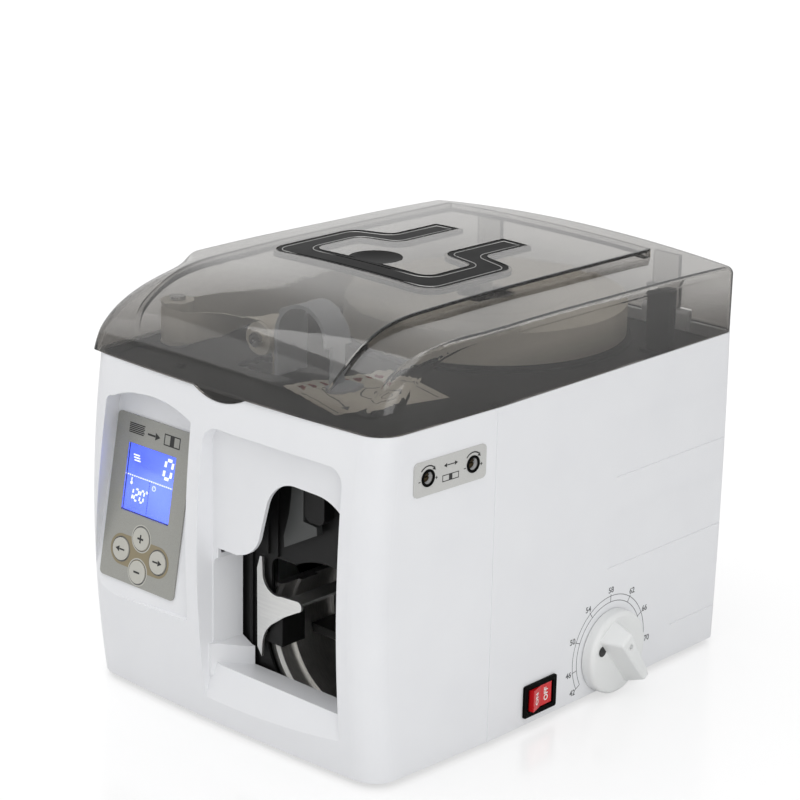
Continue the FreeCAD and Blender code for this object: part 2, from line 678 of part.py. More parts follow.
def rounded_shoulders(shape, offset):
    """Roll the side edges over: tight along the top, opening to the corner at the front."""
    edges = []
    for number, edge in enumerate(shape.Edges, 1):
        box = edge.BoundBox
        if box.ZMax < 230 or abs(box.Center.x) < 100 or box.YLength < 7:
            continue
        if box.YMin < -150:
            radii = [LID_EDGE_R - offset, FRONT_CORNER_R - 0.2 - offset]
            at_front = edge.valueAt(edge.FirstParameter).y < edge.valueAt(edge.LastParameter).y
            edges.append((number, *(reversed(radii) if at_front else radii)))
        else:
            edges.append((number, LID_EDGE_R - offset, LID_EDGE_R - offset))
    sheet = FreeCAD.newDocument()
    base = sheet.addObject("Part::Feature")
    base.Shape = shape
    rounding = sheet.addObject("Part::Fillet")
    rounding.Base = base
    rounding.Edges = edges
    sheet.recompute()
    result = rounding.Shape.copy()
    FreeCAD.closeDocument(sheet.Name)
    return result


def lid_plan(offset, low):
    """Plan outline of the casing as a straight prism, open at the front."""
    shape = bent_flank_prism(offset + 0.2, low, 320)
    rear = block(-WIDTH, -DEPTH, low, WIDTH, DEPTH / 2 - offset, 330)
    shape = shape.common(rear)
    return shape.makeFillet(REAR_CORNER_R - offset, upright_edges(shape, False))


def channel_tool(low, high, grow):
    """Prism of the U-shaped trim in the bonnet, its bends rounded, spread by grow."""
    g = grow
    front, tail, band = -57.0, 65.0, 20.0
    wide, narrow = 67.0, 38.0
    right = [(wide + g, front - g, 14 + g), (wide + g, 18 + g, 11 + g),
             (narrow + g, 24 + g, 7 - g), (narrow + g, tail + g, 0),
             (narrow - band - g, tail + g, 0), (narrow - band - g, 8 - g, 11 + g),
             (wide - band - g, 3 - g, 6 - g), (wide - band - g, front + band + g, 9 - g)]
    corners = right + [(-x, y, r) for x, y, r in reversed(right)]
    face = rounded_polygon([(x + TRIM_X, y, r) for x, y, r in corners], low)
    return face.extrude(V(0, 0, high - low))


def lid():
    """Clear cover: shoulders, raised bonnet, hinge knuckles, finger lip and trim channel."""
    low = CASE_H + LID_GAP
    shell = lid_block(0.0, low).cut(lid_block(LID_T, low - 5))
    channel = channel_tool(240, 300, 0.0)
    trough_skin = channel_tool(240, 300, 1.6)
    floor_cut = bonnet_form(3.6)
    floor_skin = bonnet_form(5.6)
    trough = trough_skin.common(lid_block(0.5, low)).cut(floor_skin)
    shell = shell.fuse(trough)
    shell = shell.cut(channel.cut(floor_cut))
    dimple = rod(V(DIMPLE_X, DIMPLE_Y, 222), EZ, DIMPLE_R, 80)
    shell = shell.cut(dimple.cut(bonnet_form(1.6)))
    shell = shell.fuse(lid_lip()).fuse(lid_knuckles())
    shell = shell.cut(lid_hinge_clearance())
    return shell.removeSplitter()


def lid_lip():
    lip = lip_notch(0.0).common(case_block(0.0, CASE_H - 8, CASE_H + 3))
    lip = lip.cut(case_block(LID_T, CASE_H - 10, CASE_H + 5))
    return lip


def lid_knuckles():
    """Hinge knuckles with the stiff arms that carry them up the inside of the rear wall."""
    knuckles = []
    for middle in (-HINGE_X, HINGE_X):
        x0, x1 = middle - KNUCKLE_W / 2, middle + KNUCKLE_W / 2
        barrel = rod(V(x0, HINGE_Y, HINGE_Z), EX, BARREL_R, KNUCKLE_W)
        web = block(x0, HINGE_Y - BARREL_R, HINGE_Z, x1, HINGE_Y + BARREL_R, HINGE_Z + 8)
        arm = block(middle - HINGE_ARM_W / 2, HINGE_Y - 2.6, HINGE_Z + 4,
                    middle + HINGE_ARM_W / 2, HINGE_Y + 2, HINGE_ARM_TOP)
        knuckles.append(fused(barrel, web, arm))
    return knuckles


def lid_hinge_clearance():
    """Round the rear bottom edge about the hinge, free the casing's lugs, bore the knuckles."""
    low = CASE_H - 5
    corner = block(-WIDTH, HINGE_Y, low, WIDTH, DEPTH, HINGE_Z)
    corner = corner.cut(rod(V(-WIDTH, HINGE_Y, HINGE_Z), EX, BARREL_R + 0.1, 2 * WIDTH))
    cuts = [corner]
    for x0 in lug_starts():
        cuts.append(rod(V(x0 - 0.4, HINGE_Y, HINGE_Z), EX, BARREL_R + 0.5, LUG_W + 0.8))
        cuts.append(block(x0 - 0.4, HINGE_Y - BARREL_R - 0.6, low,
                          x0 + LUG_W + 0.4, DEPTH, HINGE_Z + 4))
    for middle in (-HINGE_X, HINGE_X):
        cuts.append(rod(V(middle - 20, HINGE_Y, HINGE_Z), EX, HINGE_PIN_R + 0.06, 40.0))
    return cuts


def hinge_pins():
    length = KNUCKLE_W + 2 * LUG_W + 0.8
    return Part.makeCompound([rod(V(middle - length / 2, HINGE_Y, HINGE_Z), EX, HINGE_PIN_R, length)
                              for middle in (-HINGE_X, HINGE_X)])


def lid_trim():
    """Glossy inlay that fills the lid's channel, with a fine line along each edge."""
    top, floor = bonnet_form(0.3), bonnet_form(3.6)
    strip = channel_tool(240, 300, -0.35).common(top).cut(floor)
    outer = channel_tool(240, 300, -3.2).cut(channel_tool(239, 301, -4.2))
    return strip.cut(outer.cut(bonnet_form(0.9)))


def lid_dimple_disc():
    """Black finger dish in the bonnet's dimple, hollowed to a shallow bowl."""
    disc = rod(V(DIMPLE_X, DIMPLE_Y, 222), EZ, DIMPLE_R - 0.3, 80)
    disc = disc.common(bonnet_form(0.2)).cut(bonnet_form(1.6))
    bowl_r = 130.0
    bowl = Part.makeSphere(bowl_r, V(DIMPLE_X, DIMPLE_Y, 261.4 + bowl_r))
    return disc.cut([channel_tool(240, 300, 0.3), bowl])


# ------------------------------------------------------------------ band supply
def reel_spindle():
    flange = rod(V(REEL_X, REEL_Y, DECK_Z + DECK_T), EZ, 12, 1.4)
    post = rod(V(REEL_X, REEL_Y, DECK_Z - 4), EZ, SPINDLE_R, 44)
    return flange.fuse(post)


def reel_turntable():
    """Spoked disc with a core that the paper roll drops over."""
    z = DECK_Z + DECK_T + 1.8
    disc = rod(V(REEL_X, REEL_Y, z), EZ, 58.0, 2.0)
    core = rod(V(REEL_X, REEL_Y, z), EZ, 18.6, 21.0)
    table = disc.fuse(core)
    window_r = 10.0
    windows = []
    for k in range(6):
        a = math.radians(60 * k)
        windows.append(rod(V(REEL_X + 39 * math.cos(a), REEL_Y + 39 * math.sin(a), z - 1),
                           EZ, window_r, 4))
    lighten = tube(V(REEL_X, REEL_Y, z + 8), EZ, 16.2, 7.0, 20)
    bore = rod(V(REEL_X, REEL_Y, z - 2), EZ, SPINDLE_R + 0.06, 40)
    return table.cut(windows + [lighten, bore])


def paper_roll():
    """Wound paper band on its cardboard core, with a few proud turns on top."""
    z = ROLL_Z
    roll = tube(V(REEL_X, REEL_Y, z), EZ, ROLL_R, 18.8, BAND_W)
    for radius in (34.0, 52.0, 70.0):
        groove = tube(V(REEL_X, REEL_Y, z + BAND_W - 0.4), EZ, radius + 0.5, radius - 0.5, 2)
        roll = roll.cut(groove)
    return roll


def reel_cap():
    """Knurled cap pushed on the spindle; it keeps the roll down."""
    z = DECK_Z + 36.0
    cap = rod(V(REEL_X, REEL_Y, z), EZ, 9.0, 8.0)
    notches = []
    for k in range(12):
        a = math.radians(30 * k)
        notches.append(rod(V(REEL_X + 9.4 * math.cos(a), REEL_Y + 9.4 * math.sin(a), z - 1),
                           EZ, 1.1, 10))
    socket = rod(V(REEL_X, REEL_Y, z - 1), EZ, 4.0, 5.0)
    return cap.cut(notches + [socket])


def corner_post():
    foot = rod(V(CORNER_X, CORNER_Y, DECK_Z + DECK_T), EZ, 8.0, 1.5)
    pin = rod(V(CORNER_X, CORNER_Y, DECK_Z + DECK_T), EZ, 3.0, 30.0)
    head = rod(V(CORNER_X, CORNER_Y, DECK_Z + DECK_T + 28.3), EZ, 5.0, 2.0)
    return fused(foot, pin, head)


def corner_roller():
    """Flanged roller that turns the band towards the middle."""
    z, tall, flange = DECK_Z + DECK_T + 1.9, 26.0, 1.4
    body = rod(V(CORNER_X, CORNER_Y, z), EZ, CORNER_R, tall)
    rims = [rod(V(CORNER_X, CORNER_Y, z), EZ, CORNER_R + 0.9, flange),
            rod(V(CORNER_X, CORNER_Y, z + tall - flange), EZ, CORNER_R + 0.9, flange)]
    return body.fuse(rims).cut(rod(V(CORNER_X, CORNER_Y, z - 1), EZ, 3.06, tall + 4))


def band_arch():
    """Arched guide bent from one wide strip, standing on a foot beside the slot."""
    y0, y1 = BAND_Y - BAND_W / 2, BAND_Y + BAND_W / 2
    floor = DECK_Z + DECK_T
    outer, inner = ARCH_R, ARCH_R - ARCH_T
    hoop = tube(V(ARCH_X, y0, ARCH_Z), EY, outer, inner, y1 - y0)
    hoop = hoop.common(block(ARCH_X - 40, y0, ARCH_Z, ARCH_X + 40, y1, ARCH_Z + 40))
    left = block(ARCH_X - outer, y0, floor, ARCH_X - inner, y1, ARCH_Z)
    right = block(ARCH_X + inner, y0 + 5, floor, ARCH_X + outer, y1 - 5, ARCH_Z)
    foot = slab(ARCH_X + inner, y0 - 1, ARCH_X + outer + 12, y1 + 1, 4.0, floor, floor + 2)
    back = y1 + 2.1
    arm = rounded_bar(GUIDE_X - 7, GUIDE_Z - 7, ARCH_X - inner, GUIDE_Z + 14, 5.0, back, back + 3)
    stem = block(ARCH_X - outer, y1, floor, ARCH_X - inner, back + 3, ARCH_Z + 9)
    arch = fused(hoop, left, right, foot, arm, stem)
    return arch.cut(rod(V(GUIDE_X, BAND_Y - 30, GUIDE_Z), EY, 2.5, 60))


def guide_axle():
    """Shoulder screw with a hexagon socket that carries the guide roller."""
    y0 = BAND_Y - BAND_W / 2 - 2.0
    head = rod(V(GUIDE_X, y0 - 2.8, GUIDE_Z), EY, 4.6, 2.4)
    shank = rod(V(GUIDE_X, y0 - 0.4, GUIDE_Z), EY, 2.5, BAND_W + 8.0)
    socket = prism([V(GUIDE_X + 2.4 * math.cos(math.radians(60 * k)), y0 - 3.2,
                      GUIDE_Z + 2.4 * math.sin(math.radians(60 * k))) for k in range(6)],
                   V(0, 1.8, 0))
    return head.fuse(shank).cut(socket)


def guide_roller():
    """Horizontal roller that brings the band down through the slot."""
    y0 = BAND_Y - BAND_W / 2 - 2.0
    body = rod(V(GUIDE_X, y0, GUIDE_Z), EY, GUIDE_R, BAND_W + 3.6)
    hub = rod(V(GUIDE_X, y0, GUIDE_Z), EY, 5.0, 1.0)
    ring = tube(V(GUIDE_X, y0 - 1, GUIDE_Z), EY, 8.2, 5.2, 1.8)
    return body.cut(ring).fuse(hub).cut(rod(V(GUIDE_X, y0 - 2, GUIDE_Z), EY, 2.56, BAND_W + 8))


def ribbon(sections):
    """Ruled strip through flat rectangles, for the twisted stretch of band."""
    return Part.makeLoft([Part.makePolygon(s + s[:1]) for s in sections], True, True)


def paper_band():
    """The band from the roll round the corner roller, twisting down through the slot."""
    t = BAND_T
    gap = 0.3
    low = ROLL_Z + 0.8
    half = BAND_W / 2
    x_leg = CORNER_X - CORNER_R - gap - t
    y_leg = CORNER_Y - CORNER_R - gap - t
    roll_left = REEL_X - ROLL_R - 1.2
    leg = prism([V(x_leg, CORNER_Y, low), V(x_leg + t, CORNER_Y, low),
                 V(roll_left, REEL_Y, low), V(roll_left - t, REEL_Y, low)], V(0, 0, BAND_W))
    bend = tube(V(CORNER_X, CORNER_Y, low), EZ, CORNER_R + gap + t, CORNER_R + gap, BAND_W)
    bend = bend.common(block(CORNER_X - 20, CORNER_Y - 20, low, CORNER_X, CORNER_Y, low + BAND_W))
    straight = block(CORNER_X, y_leg, low, CORNER_X + 8, y_leg + t, low + BAND_W)
    x0, x1 = CORNER_X + 8, GUIDE_X
    top = GUIDE_Z + GUIDE_R + gap
    sections = []
    steps = 8
    for k in range(steps + 1):
        f = k / steps
        s = f * f * (3 - 2 * f)
        a = math.radians(90 * s)
        across = V(0, -math.sin(a), math.cos(a))
        thick = V(0, math.cos(a), math.sin(a))
        mid = V(x0 + (x1 - x0) * f, y_leg + t / 2 + (BAND_Y - y_leg - t / 2) * s,
                low + half + (top + t / 2 - low - half) * s)
        sections.append([mid - across * half - thick * (t / 2), mid + across * half - thick * (t / 2),
                         mid + across * half + thick * (t / 2), mid - across * half + thick * (t / 2)])
    twist = ribbon(sections)
    y0 = BAND_Y - half
    turn = tube(V(GUIDE_X, y0, GUIDE_Z), EY, GUIDE_R + gap + t, GUIDE_R + gap, BAND_W)
    turn = turn.common(block(GUIDE_X, y0, GUIDE_Z, GUIDE_X + 20, y0 + BAND_W, GUIDE_Z + 20))
    drop_x = GUIDE_X + GUIDE_R + gap
    drop = block(drop_x, y0, 140, drop_x + t, y0 + BAND_W, GUIDE_Z)
    return fused(leg, bend, straight, twist, turn, drop)


def deck_post():
    """Black upright at the right rear that the lid closes against."""
    post = slab(99, 100, 118, 107, 2.0, DECK_Z + DECK_T, DECK_Z + 44)
    foot = slab(96, 97, 119, 112, 3.0, DECK_Z + DECK_T, DECK_Z + DECK_T + 2)
    return post.fuse(foot)


# ------------------------------------------------------------------ controls
def control_plate():
    plate = rounded_bar(-PLATE_W / 2, PLATE_BOTTOM, PLATE_W / 2, PLATE_BOTTOM + PLATE_H, 3.0,
                        -PLATE_T, 0)
    window = block(-DISPLAY_W / 2, -3, DISPLAY_BOTTOM, DISPLAY_W / 2, 3, DISPLAY_BOTTOM + DISPLAY_H)
    holes = [rod(V(x, -3, z), EY, BUTTON_R + 0.35, 6) for x, z in button_centres()]
    return on_panel(plate.cut([window] + holes))


def display_window():
    glass = block(-DISPLAY_W / 2 + 0.1, -PLATE_T + 0.3, DISPLAY_BOTTOM + 0.1,
                  DISPLAY_W / 2 - 0.1, 1.5, DISPLAY_BOTTOM + DISPLAY_H - 0.1)
    return on_panel(glass)


def display_module():
    """Lit display cell on its carrier, behind the window."""
    cell = block(-DISPLAY_W / 2 - 0.2, 1.5, DISPLAY_BOTTOM - 0.2,
                 DISPLAY_W / 2 + 0.2, 8.0, DISPLAY_BOTTOM + DISPLAY_H + 0.2)
    return on_panel(cell)


def button_cap(index):
    x, z = button_centres()[index]
    cap = rod(V(x, -PLATE_T - 0.9, z), EY, BUTTON_R, 7.0)
    top = [e for e in cap.Edges if abs(e.BoundBox.Center.y + PLATE_T + 0.9) < 0.01]
    cap = cap.makeFillet(0.6, top)
    stem = rod(V(x, 6.1 - PLATE_T - 0.9, z), EY, 2.0, 3.0)
    return on_panel(cap.fuse(stem))


def control_board():
    """Circuit board behind the panel with four key switches and the display carrier."""
    y = 12.0
    board = block(-32, y, 6, 32, y + 1.6, 106)
    carrier = block(-24, 6.0, 50, 24, y, 96)
    keys = [block(x - 3, y - 2.6, z - 3, x + 3, y, z + 3) for x, z in button_centres()]
    plug = block(-12, y + 1.6, 98, 12, y + 8, 104)
    posts = [rod(V(x, WALL, z), EY, 2.4, y - WALL) for x in (-26.5, 28) for z in (10, 99)]
    shape = fused(board, carrier, plug, *keys, *posts)
    return on_panel(shape.cut(block(-22, 1.0, 51.5, 22, 8.0, 94.5)))


def tension_plate():
    plate = rounded_plate_x(TENSION_L, TENSION_H, 3.0, 0.0, 0.8)
    holes = [rod(V(-5, s * TENSION_SPREAD, 0), EX, TENSION_HOLE_R, 10) for s in (-1, 1)]
    return on_flank(plate.cut(holes))


def rounded_plate_x(length, height, radius, x0, x1):
    """Rounded plate in YZ, from x0 to x1."""
    shape = block(x0, -length / 2, -height / 2, x1, length / 2, height / 2)
    edges = [e for e in shape.Edges if abs(e.BoundBox.XLength - (x1 - x0)) < 1e-6]
    return shape.makeFillet(radius, edges)


def adjuster(side):
    """Slotted adjusting screw behind one of the plate's holes."""
    y = side * TENSION_SPREAD
    head = rod(V(-8.0, y, 0), EX, 3.0, 6.5)
    shank = rod(V(-22.0, y, 0), EX, 1.6, 14.5)
    slot = block(-2.6, y - 3.2, -0.5, 0, y + 3.2, 0.5)
    return on_flank(head.fuse(shank).cut(slot))


def adjuster_block():
    """Potentiometer bodies on a small bracket."""
    bodies = [block(-20, s * TENSION_SPREAD - 6, -7, -10, s * TENSION_SPREAD + 6, 7) for s in (-1, 1)]
    strap = block(-21.5, -TENSION_L / 2, -8, -20, TENSION_L / 2, 8)
    bores = [rod(V(-24, s * TENSION_SPREAD, 0), EX, 1.66, 20) for s in (-1, 1)]
    legs = [block(-21.5, s * (TENSION_L / 2) - 2, -8, -WALL, s * (TENSION_L / 2) + 2, 8) for s in (-1, 1)]
    return on_flank(fused(strap, *bodies, *legs).cut(bores))


def rocker_bezel():
    """Snap-in switch body with a flange and an open face."""
    x = WIDTH / 2
    flange = rounded_plate_x(ROCKER_L, ROCKER_H, 1.5, x, x + 1.5)
    flange.translate(V(0, ROCKER_Y, ROCKER_Z))
    m = 1.9
    body = block(x - 24, ROCKER_Y - ROCKER_L / 2 + m, ROCKER_Z - ROCKER_H / 2 + m,
                 x, ROCKER_Y + ROCKER_L / 2 - m, ROCKER_Z + ROCKER_H / 2 - m)
    inner = block(x - 16, ROCKER_Y - ROCKER_L / 2 + 3.1, ROCKER_Z - ROCKER_H / 2 + 3.1,
                  x + 5, ROCKER_Y + ROCKER_L / 2 - 3.1, ROCKER_Z + ROCKER_H / 2 - 3.1)
    tabs = [block(x - 32, ROCKER_Y + dy - 3, ROCKER_Z - 0.4, x - 24, ROCKER_Y + dy + 3,
                  ROCKER_Z + 0.4) for dy in (-8, 0, 8)]
    pivot = rod(V(x - ROCKER_PIVOT, ROCKER_Y, ROCKER_Z - ROCKER_H), EZ, 1.56, 2 * ROCKER_H)
    return fused(flange, body.cut([inner, pivot]), *tabs).cut(inner)


def rocker():
    """Two-faced rocker, at rest tipped towards its front half."""
    half = ROCKER_L / 2 - 3.1
    tall = ROCKER_H / 2 - 3.5
    x = 0.0
    outline = [V(x - 8, -4, 0), V(x - 1.0, -half + 1.7, 0), V(x + 2.4, -half + 1.7, 0),
               V(x + 0.9, 0, 0), V(x + 2.4, half - 1.7, 0), V(x - 1.0, half - 1.7, 0), V(x - 8, 4, 0)]
    shape = prism(outline, V(0, 0, 2 * tall))
    shape.translate(V(0, 0, -tall))
    reach = ROCKER_H / 2 - 2.5
    pin = rod(V(-ROCKER_PIVOT, 0, -reach), EZ, 1.5, 2 * reach)
    shape = shape.fuse(pin)
    shape.rotate(V(-ROCKER_PIVOT, 0, 0), EZ, ROCKER_TILT)
    shape.translate(V(WIDTH / 2, ROCKER_Y, ROCKER_Z))
    return shape


def dial_knob():
    """Turned disc with a tapered bar handle across it."""
    x = WIDTH / 2 + 0.5
    disc = Part.Face(Part.Wire([
        Part.LineSegment(V(0, 0, 0), V(DIAL_R, 0, 0)).toShape(),
        Part.LineSegment(V(DIAL_R, 0, 0), V(DIAL_R, 0, 5)).toShape(),
        Part.Arc(V(DIAL_R, 0, 5), V(DIAL_R - 0.9, 0, 7.1), V(DIAL_R - 3, 0, 8)).toShape(),
        Part.LineSegment(V(DIAL_R - 3, 0, 8), V(0, 0, 8.6)).toShape(),
        Part.LineSegment(V(0, 0, 8.6), V(0, 0, 0)).toShape()])).revolve(V(0, 0, 0), EZ, 360)
    top = DIAL_REACH - 0.5
    foot = Part.makePolygon([V(-23, -9.5, 6), V(23, -6.5, 6), V(23, 6.5, 6), V(-23, 9.5, 6),
                             V(-23, -9.5, 6)])
    crest = Part.makePolygon([V(-20, -5.5, top), V(18, -2.6, top), V(18, 2.6, top),
                              V(-20, 5.5, top), V(-20, -5.5, top)])
    bar = Part.makeLoft([foot, crest], True, True)
    long_edges = [e for e in bar.Edges if e.BoundBox.Center.z > 8]
    bar = bar.makeFillet(2.0, long_edges)
    knob = disc.fuse(bar)
    knob = knob.cut(rod(V(-13, 0, top - 2.0), EZ, 1.8, 4))
    knob = knob.cut(rod(V(0, 0, -1), EZ, DIAL_SHAFT_R, 9))
    knob.rotate(V(0, 0, 0), EZ, 35)
    knob.rotate(V(0, 0, 0), EY, 90)
    knob.translate(V(x, DIAL_Y, DIAL_Z))
    return knob


def dial_shaft():
    """Steel shaft from the knob to the rack pinion."""
    x0, x1 = 52.5, WIDTH / 2 + 8.0
    shaft = rod(V(x0, DIAL_Y, DIAL_Z), EX, DIAL_SHAFT_R, x1 - x0)
    collar = rod(V(WIDTH / 2 - 14, DIAL_Y, DIAL_Z), EX, 5.0, 4.5)
    return shaft.fuse(collar)


def dial_pinion():
    gear = involute_gear(STOP_TEETH, STOP_MODULE, 6.0, DIAL_SHAFT_R)
    gear.rotate(V(0, 0, 0), EZ, -90)
    gear.translate(V(62.0, DIAL_Y, DIAL_Z))
    return gear


def note_stop():
    """Stop plate carried by a rack bar that the dial drives to and fro."""
    pitch_z = DIAL_Z + STOP_MODULE * STOP_TEETH / 2
    y0, y1 = STOP_Y - 2, DIAL_Y + 57
    bar = block(61.8, y0, pitch_z + 1.3, 68.2, y1, pitch_z + 7)
    teeth = []
    pitch = math.pi * STOP_MODULE
    lean = math.tan(math.radians(20))
    flat = pitch / 4 - 0.17
    reach, root = 0.9 * STOP_MODULE, 1.4
    count = 14
    for k in range(-count // 2, count // 2):
        y = DIAL_Y + (k + 0.5) * pitch
        wide, slim = flat + root * lean, flat - reach * lean
        teeth.append(prism([V(62.0, y - wide, pitch_z + root), V(62.0, y + wide, pitch_z + root),
                            V(62.0, y + slim, pitch_z - reach), V(62.0, y - slim, pitch_z - reach)],
                           V(6.0, 0, 0)))
    plate = rounded_bar(32, 42, 88, 108, 6.0, STOP_Y - 2, STOP_Y)
    web = block(61.8, STOP_Y - 2, pitch_z + 1.3, 68.2, STOP_Y, 44)
    brace = prism([V(64, STOP_Y, pitch_z + 7), V(64, STOP_Y + 26, pitch_z + 7), V(64, STOP_Y, 80)],
                  V(2, 0, 0))
    return fused(bar, plate, web, brace, *teeth)


def stop_rail():
    """Bent bracket on the tray: two windowed ears guide the rack bar, a third holds the shaft."""
    pitch_z = DIAL_Z + STOP_MODULE * STOP_TEETH / 2
    floor, sheet = 2.5, 1.5
    front, rear = 8.0, 86.0
    strip = block(54, front, floor, 76, rear, floor + sheet)
    ears = [block(54, y, floor, 76, y + 2, pitch_z + 14) for y in (front, rear - 2)]
    bearing = block(51.5, DIAL_Y - 12, floor, 54.5, DIAL_Y + 12, DIAL_Z + 8)
    shape = fused(strip, bearing, *ears)
    windows = [block(61.4, y - 1, pitch_z + 0.9, 68.6, y + 3, pitch_z + 7.4)
               for y in (front, rear - 2)]
    bore = rod(V(50, DIAL_Y, DIAL_Z), EX, DIAL_SHAFT_R + 0.06, 8)
    return shape.cut(windows + [bore])


def mains_inlet():
    """Recessed inlet with three flat pins, screwed to the rear wall."""
    y = DEPTH / 2 + INLET_PROUD
    flange = rounded_bar(INLET_X - 25, INLET_Z - 12, INLET_X + 25, INLET_Z + 12, 5.0, y - 2.6, y)
    body = rounded_bar(INLET_X - 13.7, INLET_Z - 10.2, INLET_X + 13.7, INLET_Z + 10.2, 3.0,
                       y - 24, y - 2.6)
    well = rounded_bar(INLET_X - 12, INLET_Z - 8.2, INLET_X + 12, INLET_Z + 8.2, 3.0, y - 19, y + 1)
    holes = [rod(V(INLET_X + s * 20, y - 4, INLET_Z), EY, 1.7, 6) for s in (-1, 1)]
    shape = flange.fuse(body).cut([well] + holes)
    pins = [block(INLET_X + dx - 1, y - 20, INLET_Z + dz - 2, INLET_X + dx + 1, y - 4, INLET_Z + dz + 2)
            for dx, dz in ((-7, -2), (0, 2.5), (7, -2))]
    return shape.fuse(pins)


# ------------------------------------------------------------------ mechanism
def frame_plate(y, bore):
    """Steel plate across the machine that carries shafts and track."""
    plate = rounded_bar(FRAME_LEFT, 2.5, FRAME_RIGHT, FRAME_TOP, 8.0, y, y + FRAME_T)
    cuts = [rod(V(TRACK_X, y - 1, TRACK_Z), EY, bore, FRAME_T + 2)]
    for x in (feed_x(), pinch_x()):
        cuts.append(rod(V(x, y - 1, FEED_Z), EY, 3.06, FRAME_T + 2))
    cuts.append(rounded_bar(12, 80, 93, 106.5, 6.0, y - 1, y + FRAME_T + 1))
    cuts += [rod(V(x, y - 1, z), EY, 2.0, FRAME_T + 2) for x, z in tie_places()]
    cuts.append(rod(V(FRAME_LEFT + 26, y - 1, 60), EY, 15.0, FRAME_T + 2))
    cuts.append(rod(V(press_pinion_x(), y - 1, PRESS_AXIS_Z), EY, 4.0, FRAME_T + 2))
    cuts.append(block(FRAME_RIGHT - 17, y - 1, 166, FRAME_RIGHT + 1, y + FRAME_T + 1, FRAME_TOP + 1))
    return plate.cut(cuts)


def tie_places():
    return [(FRAME_LEFT + 7, 12.0), (FRAME_RIGHT - 7, 12.0),
            (FRAME_LEFT + 7, FRAME_TOP - 9), (FRAME_RIGHT - 24, FRAME_TOP - 9)]


def feed_x():
    return NIP_X + BAND_T + 0.2 + FEED_R


def pinch_x():
    return NIP_X - 0.4 - FEED_R


def press_pinion_x():
    return PRESS_X + 4 + PRESS_PINION_R


def frame_front():
    return frame_plate(FRAME_FRONT_Y, ENTRY_R + 2.5).cut(press_slot(FRAME_FRONT_Y))


def press_slot(y):
    return block(PRESS_X - 5, y - 1, PRESS_Z - 20, PRESS_X + 5, y + FRAME_T + 1, PRESS_Z + 40)


def frame_rear():
    return frame_plate(FRAME_REAR_Y, TRACK_R - 2)


def frame_ties():
    """Four shouldered spacers between the frame plates."""
    length = FRAME_REAR_Y - FRAME_FRONT_Y - FRAME_T
    bars = []
    for x, z in tie_places():
        bar = rod(V(x, FRAME_FRONT_Y + FRAME_T, z), EY, 4.0, length)
        stud = rod(V(x, FRAME_FRONT_Y - 2, z), EY, 2.0, length + 2 * FRAME_T + 4)
        bars.append(bar.fuse(stud))
    return Part.makeCompound(bars)


def open_ring(y0, y1, inner, outer):
    """Ring about the note channel, open at the top where the press head works."""
    ring = tube(V(TRACK_X, y0, TRACK_Z), EY, outer, inner, y1 - y0)
    return ring.cut(block(TRACK_X - 90, y0 - 1, TRACK_TOP, TRACK_X + 90, y1 + 1, TRACK_TOP + 90))


def entry_ring():
    """Flared silver ring at the mouth of the note channel."""
    y0, y1 = FRAME_FRONT_Y + FRAME_T, TRACK_STEP_Y
    ring = open_ring(y0, y1, ENTRY_R, ENTRY_R + 5.0)
    flare = Part.makeCone(ENTRY_R + 1.2, ENTRY_R, 2.5, V(TRACK_X, y0, TRACK_Z), EY)
    return ring.cut(flare)


def band_track():
    """Grooved ring that leads the band round the notes."""
    y0, y1 = TRACK_STEP_Y, FRAME_REAR_Y
    ring = open_ring(y0, y1, TRACK_R, ENTRY_R + 5.0)
    groove = tube(V(TRACK_X, BAND_Y - BAND_W / 2 - 0.5, TRACK_Z), EY, TRACK_R + 2.5, TRACK_R - 1,
                  BAND_W + 1)
    return ring.cut(groove)


def front_apron():
    """Black moulded mask in front of the frame, open at the ring and at the note slot."""
    y0, y1 = APRON_Y, FRAME_FRONT_Y - 2.2
    right = FRAME_RIGHT - 2
    plate = rounded_bar(-22, 8, right, FRAME_TOP - 4, 8.0, y0, y1)
    holes = [rod(V(TRACK_X, y0 - 1, TRACK_Z), EY, ENTRY_R + 1.5, y1 - y0 + 2),
             rounded_bar(13, 70, 92, 104.5, 6.0, y0 - 1, y1 + 1),
             block(4.6, y0 - 1, 55.6, 14, y1 + 1, 72.4),
             block(FRAME_RIGHT - 17, y0 - 1, 166, FRAME_RIGHT, y1 + 1, FRAME_TOP)]
    ribs = [block(x, y0 - 1.6, low, x + 2.5, y0, 150) for x, low in ((-4, 24), (9, 106), (17, 106))]
    lug = rounded_bar(47.5, 138, 63, 168, 5.0, y0 - 8.0, y0)
    cheek = block(11.5, y0, 49.5, 22, TRACK_STEP_Y - 0.5, 70)
    bridge = block(6, y0, 49.5, 22, y1, 55.4)
    bosses = [rod(V(x, y1, z), EY, 3.0, FRAME_FRONT_Y - y1) for x in (-14, right - 8)
              for z in (20, 150)]
    return plate.cut(holes).fuse(ribs + [lug, cheek, bridge] + bosses)


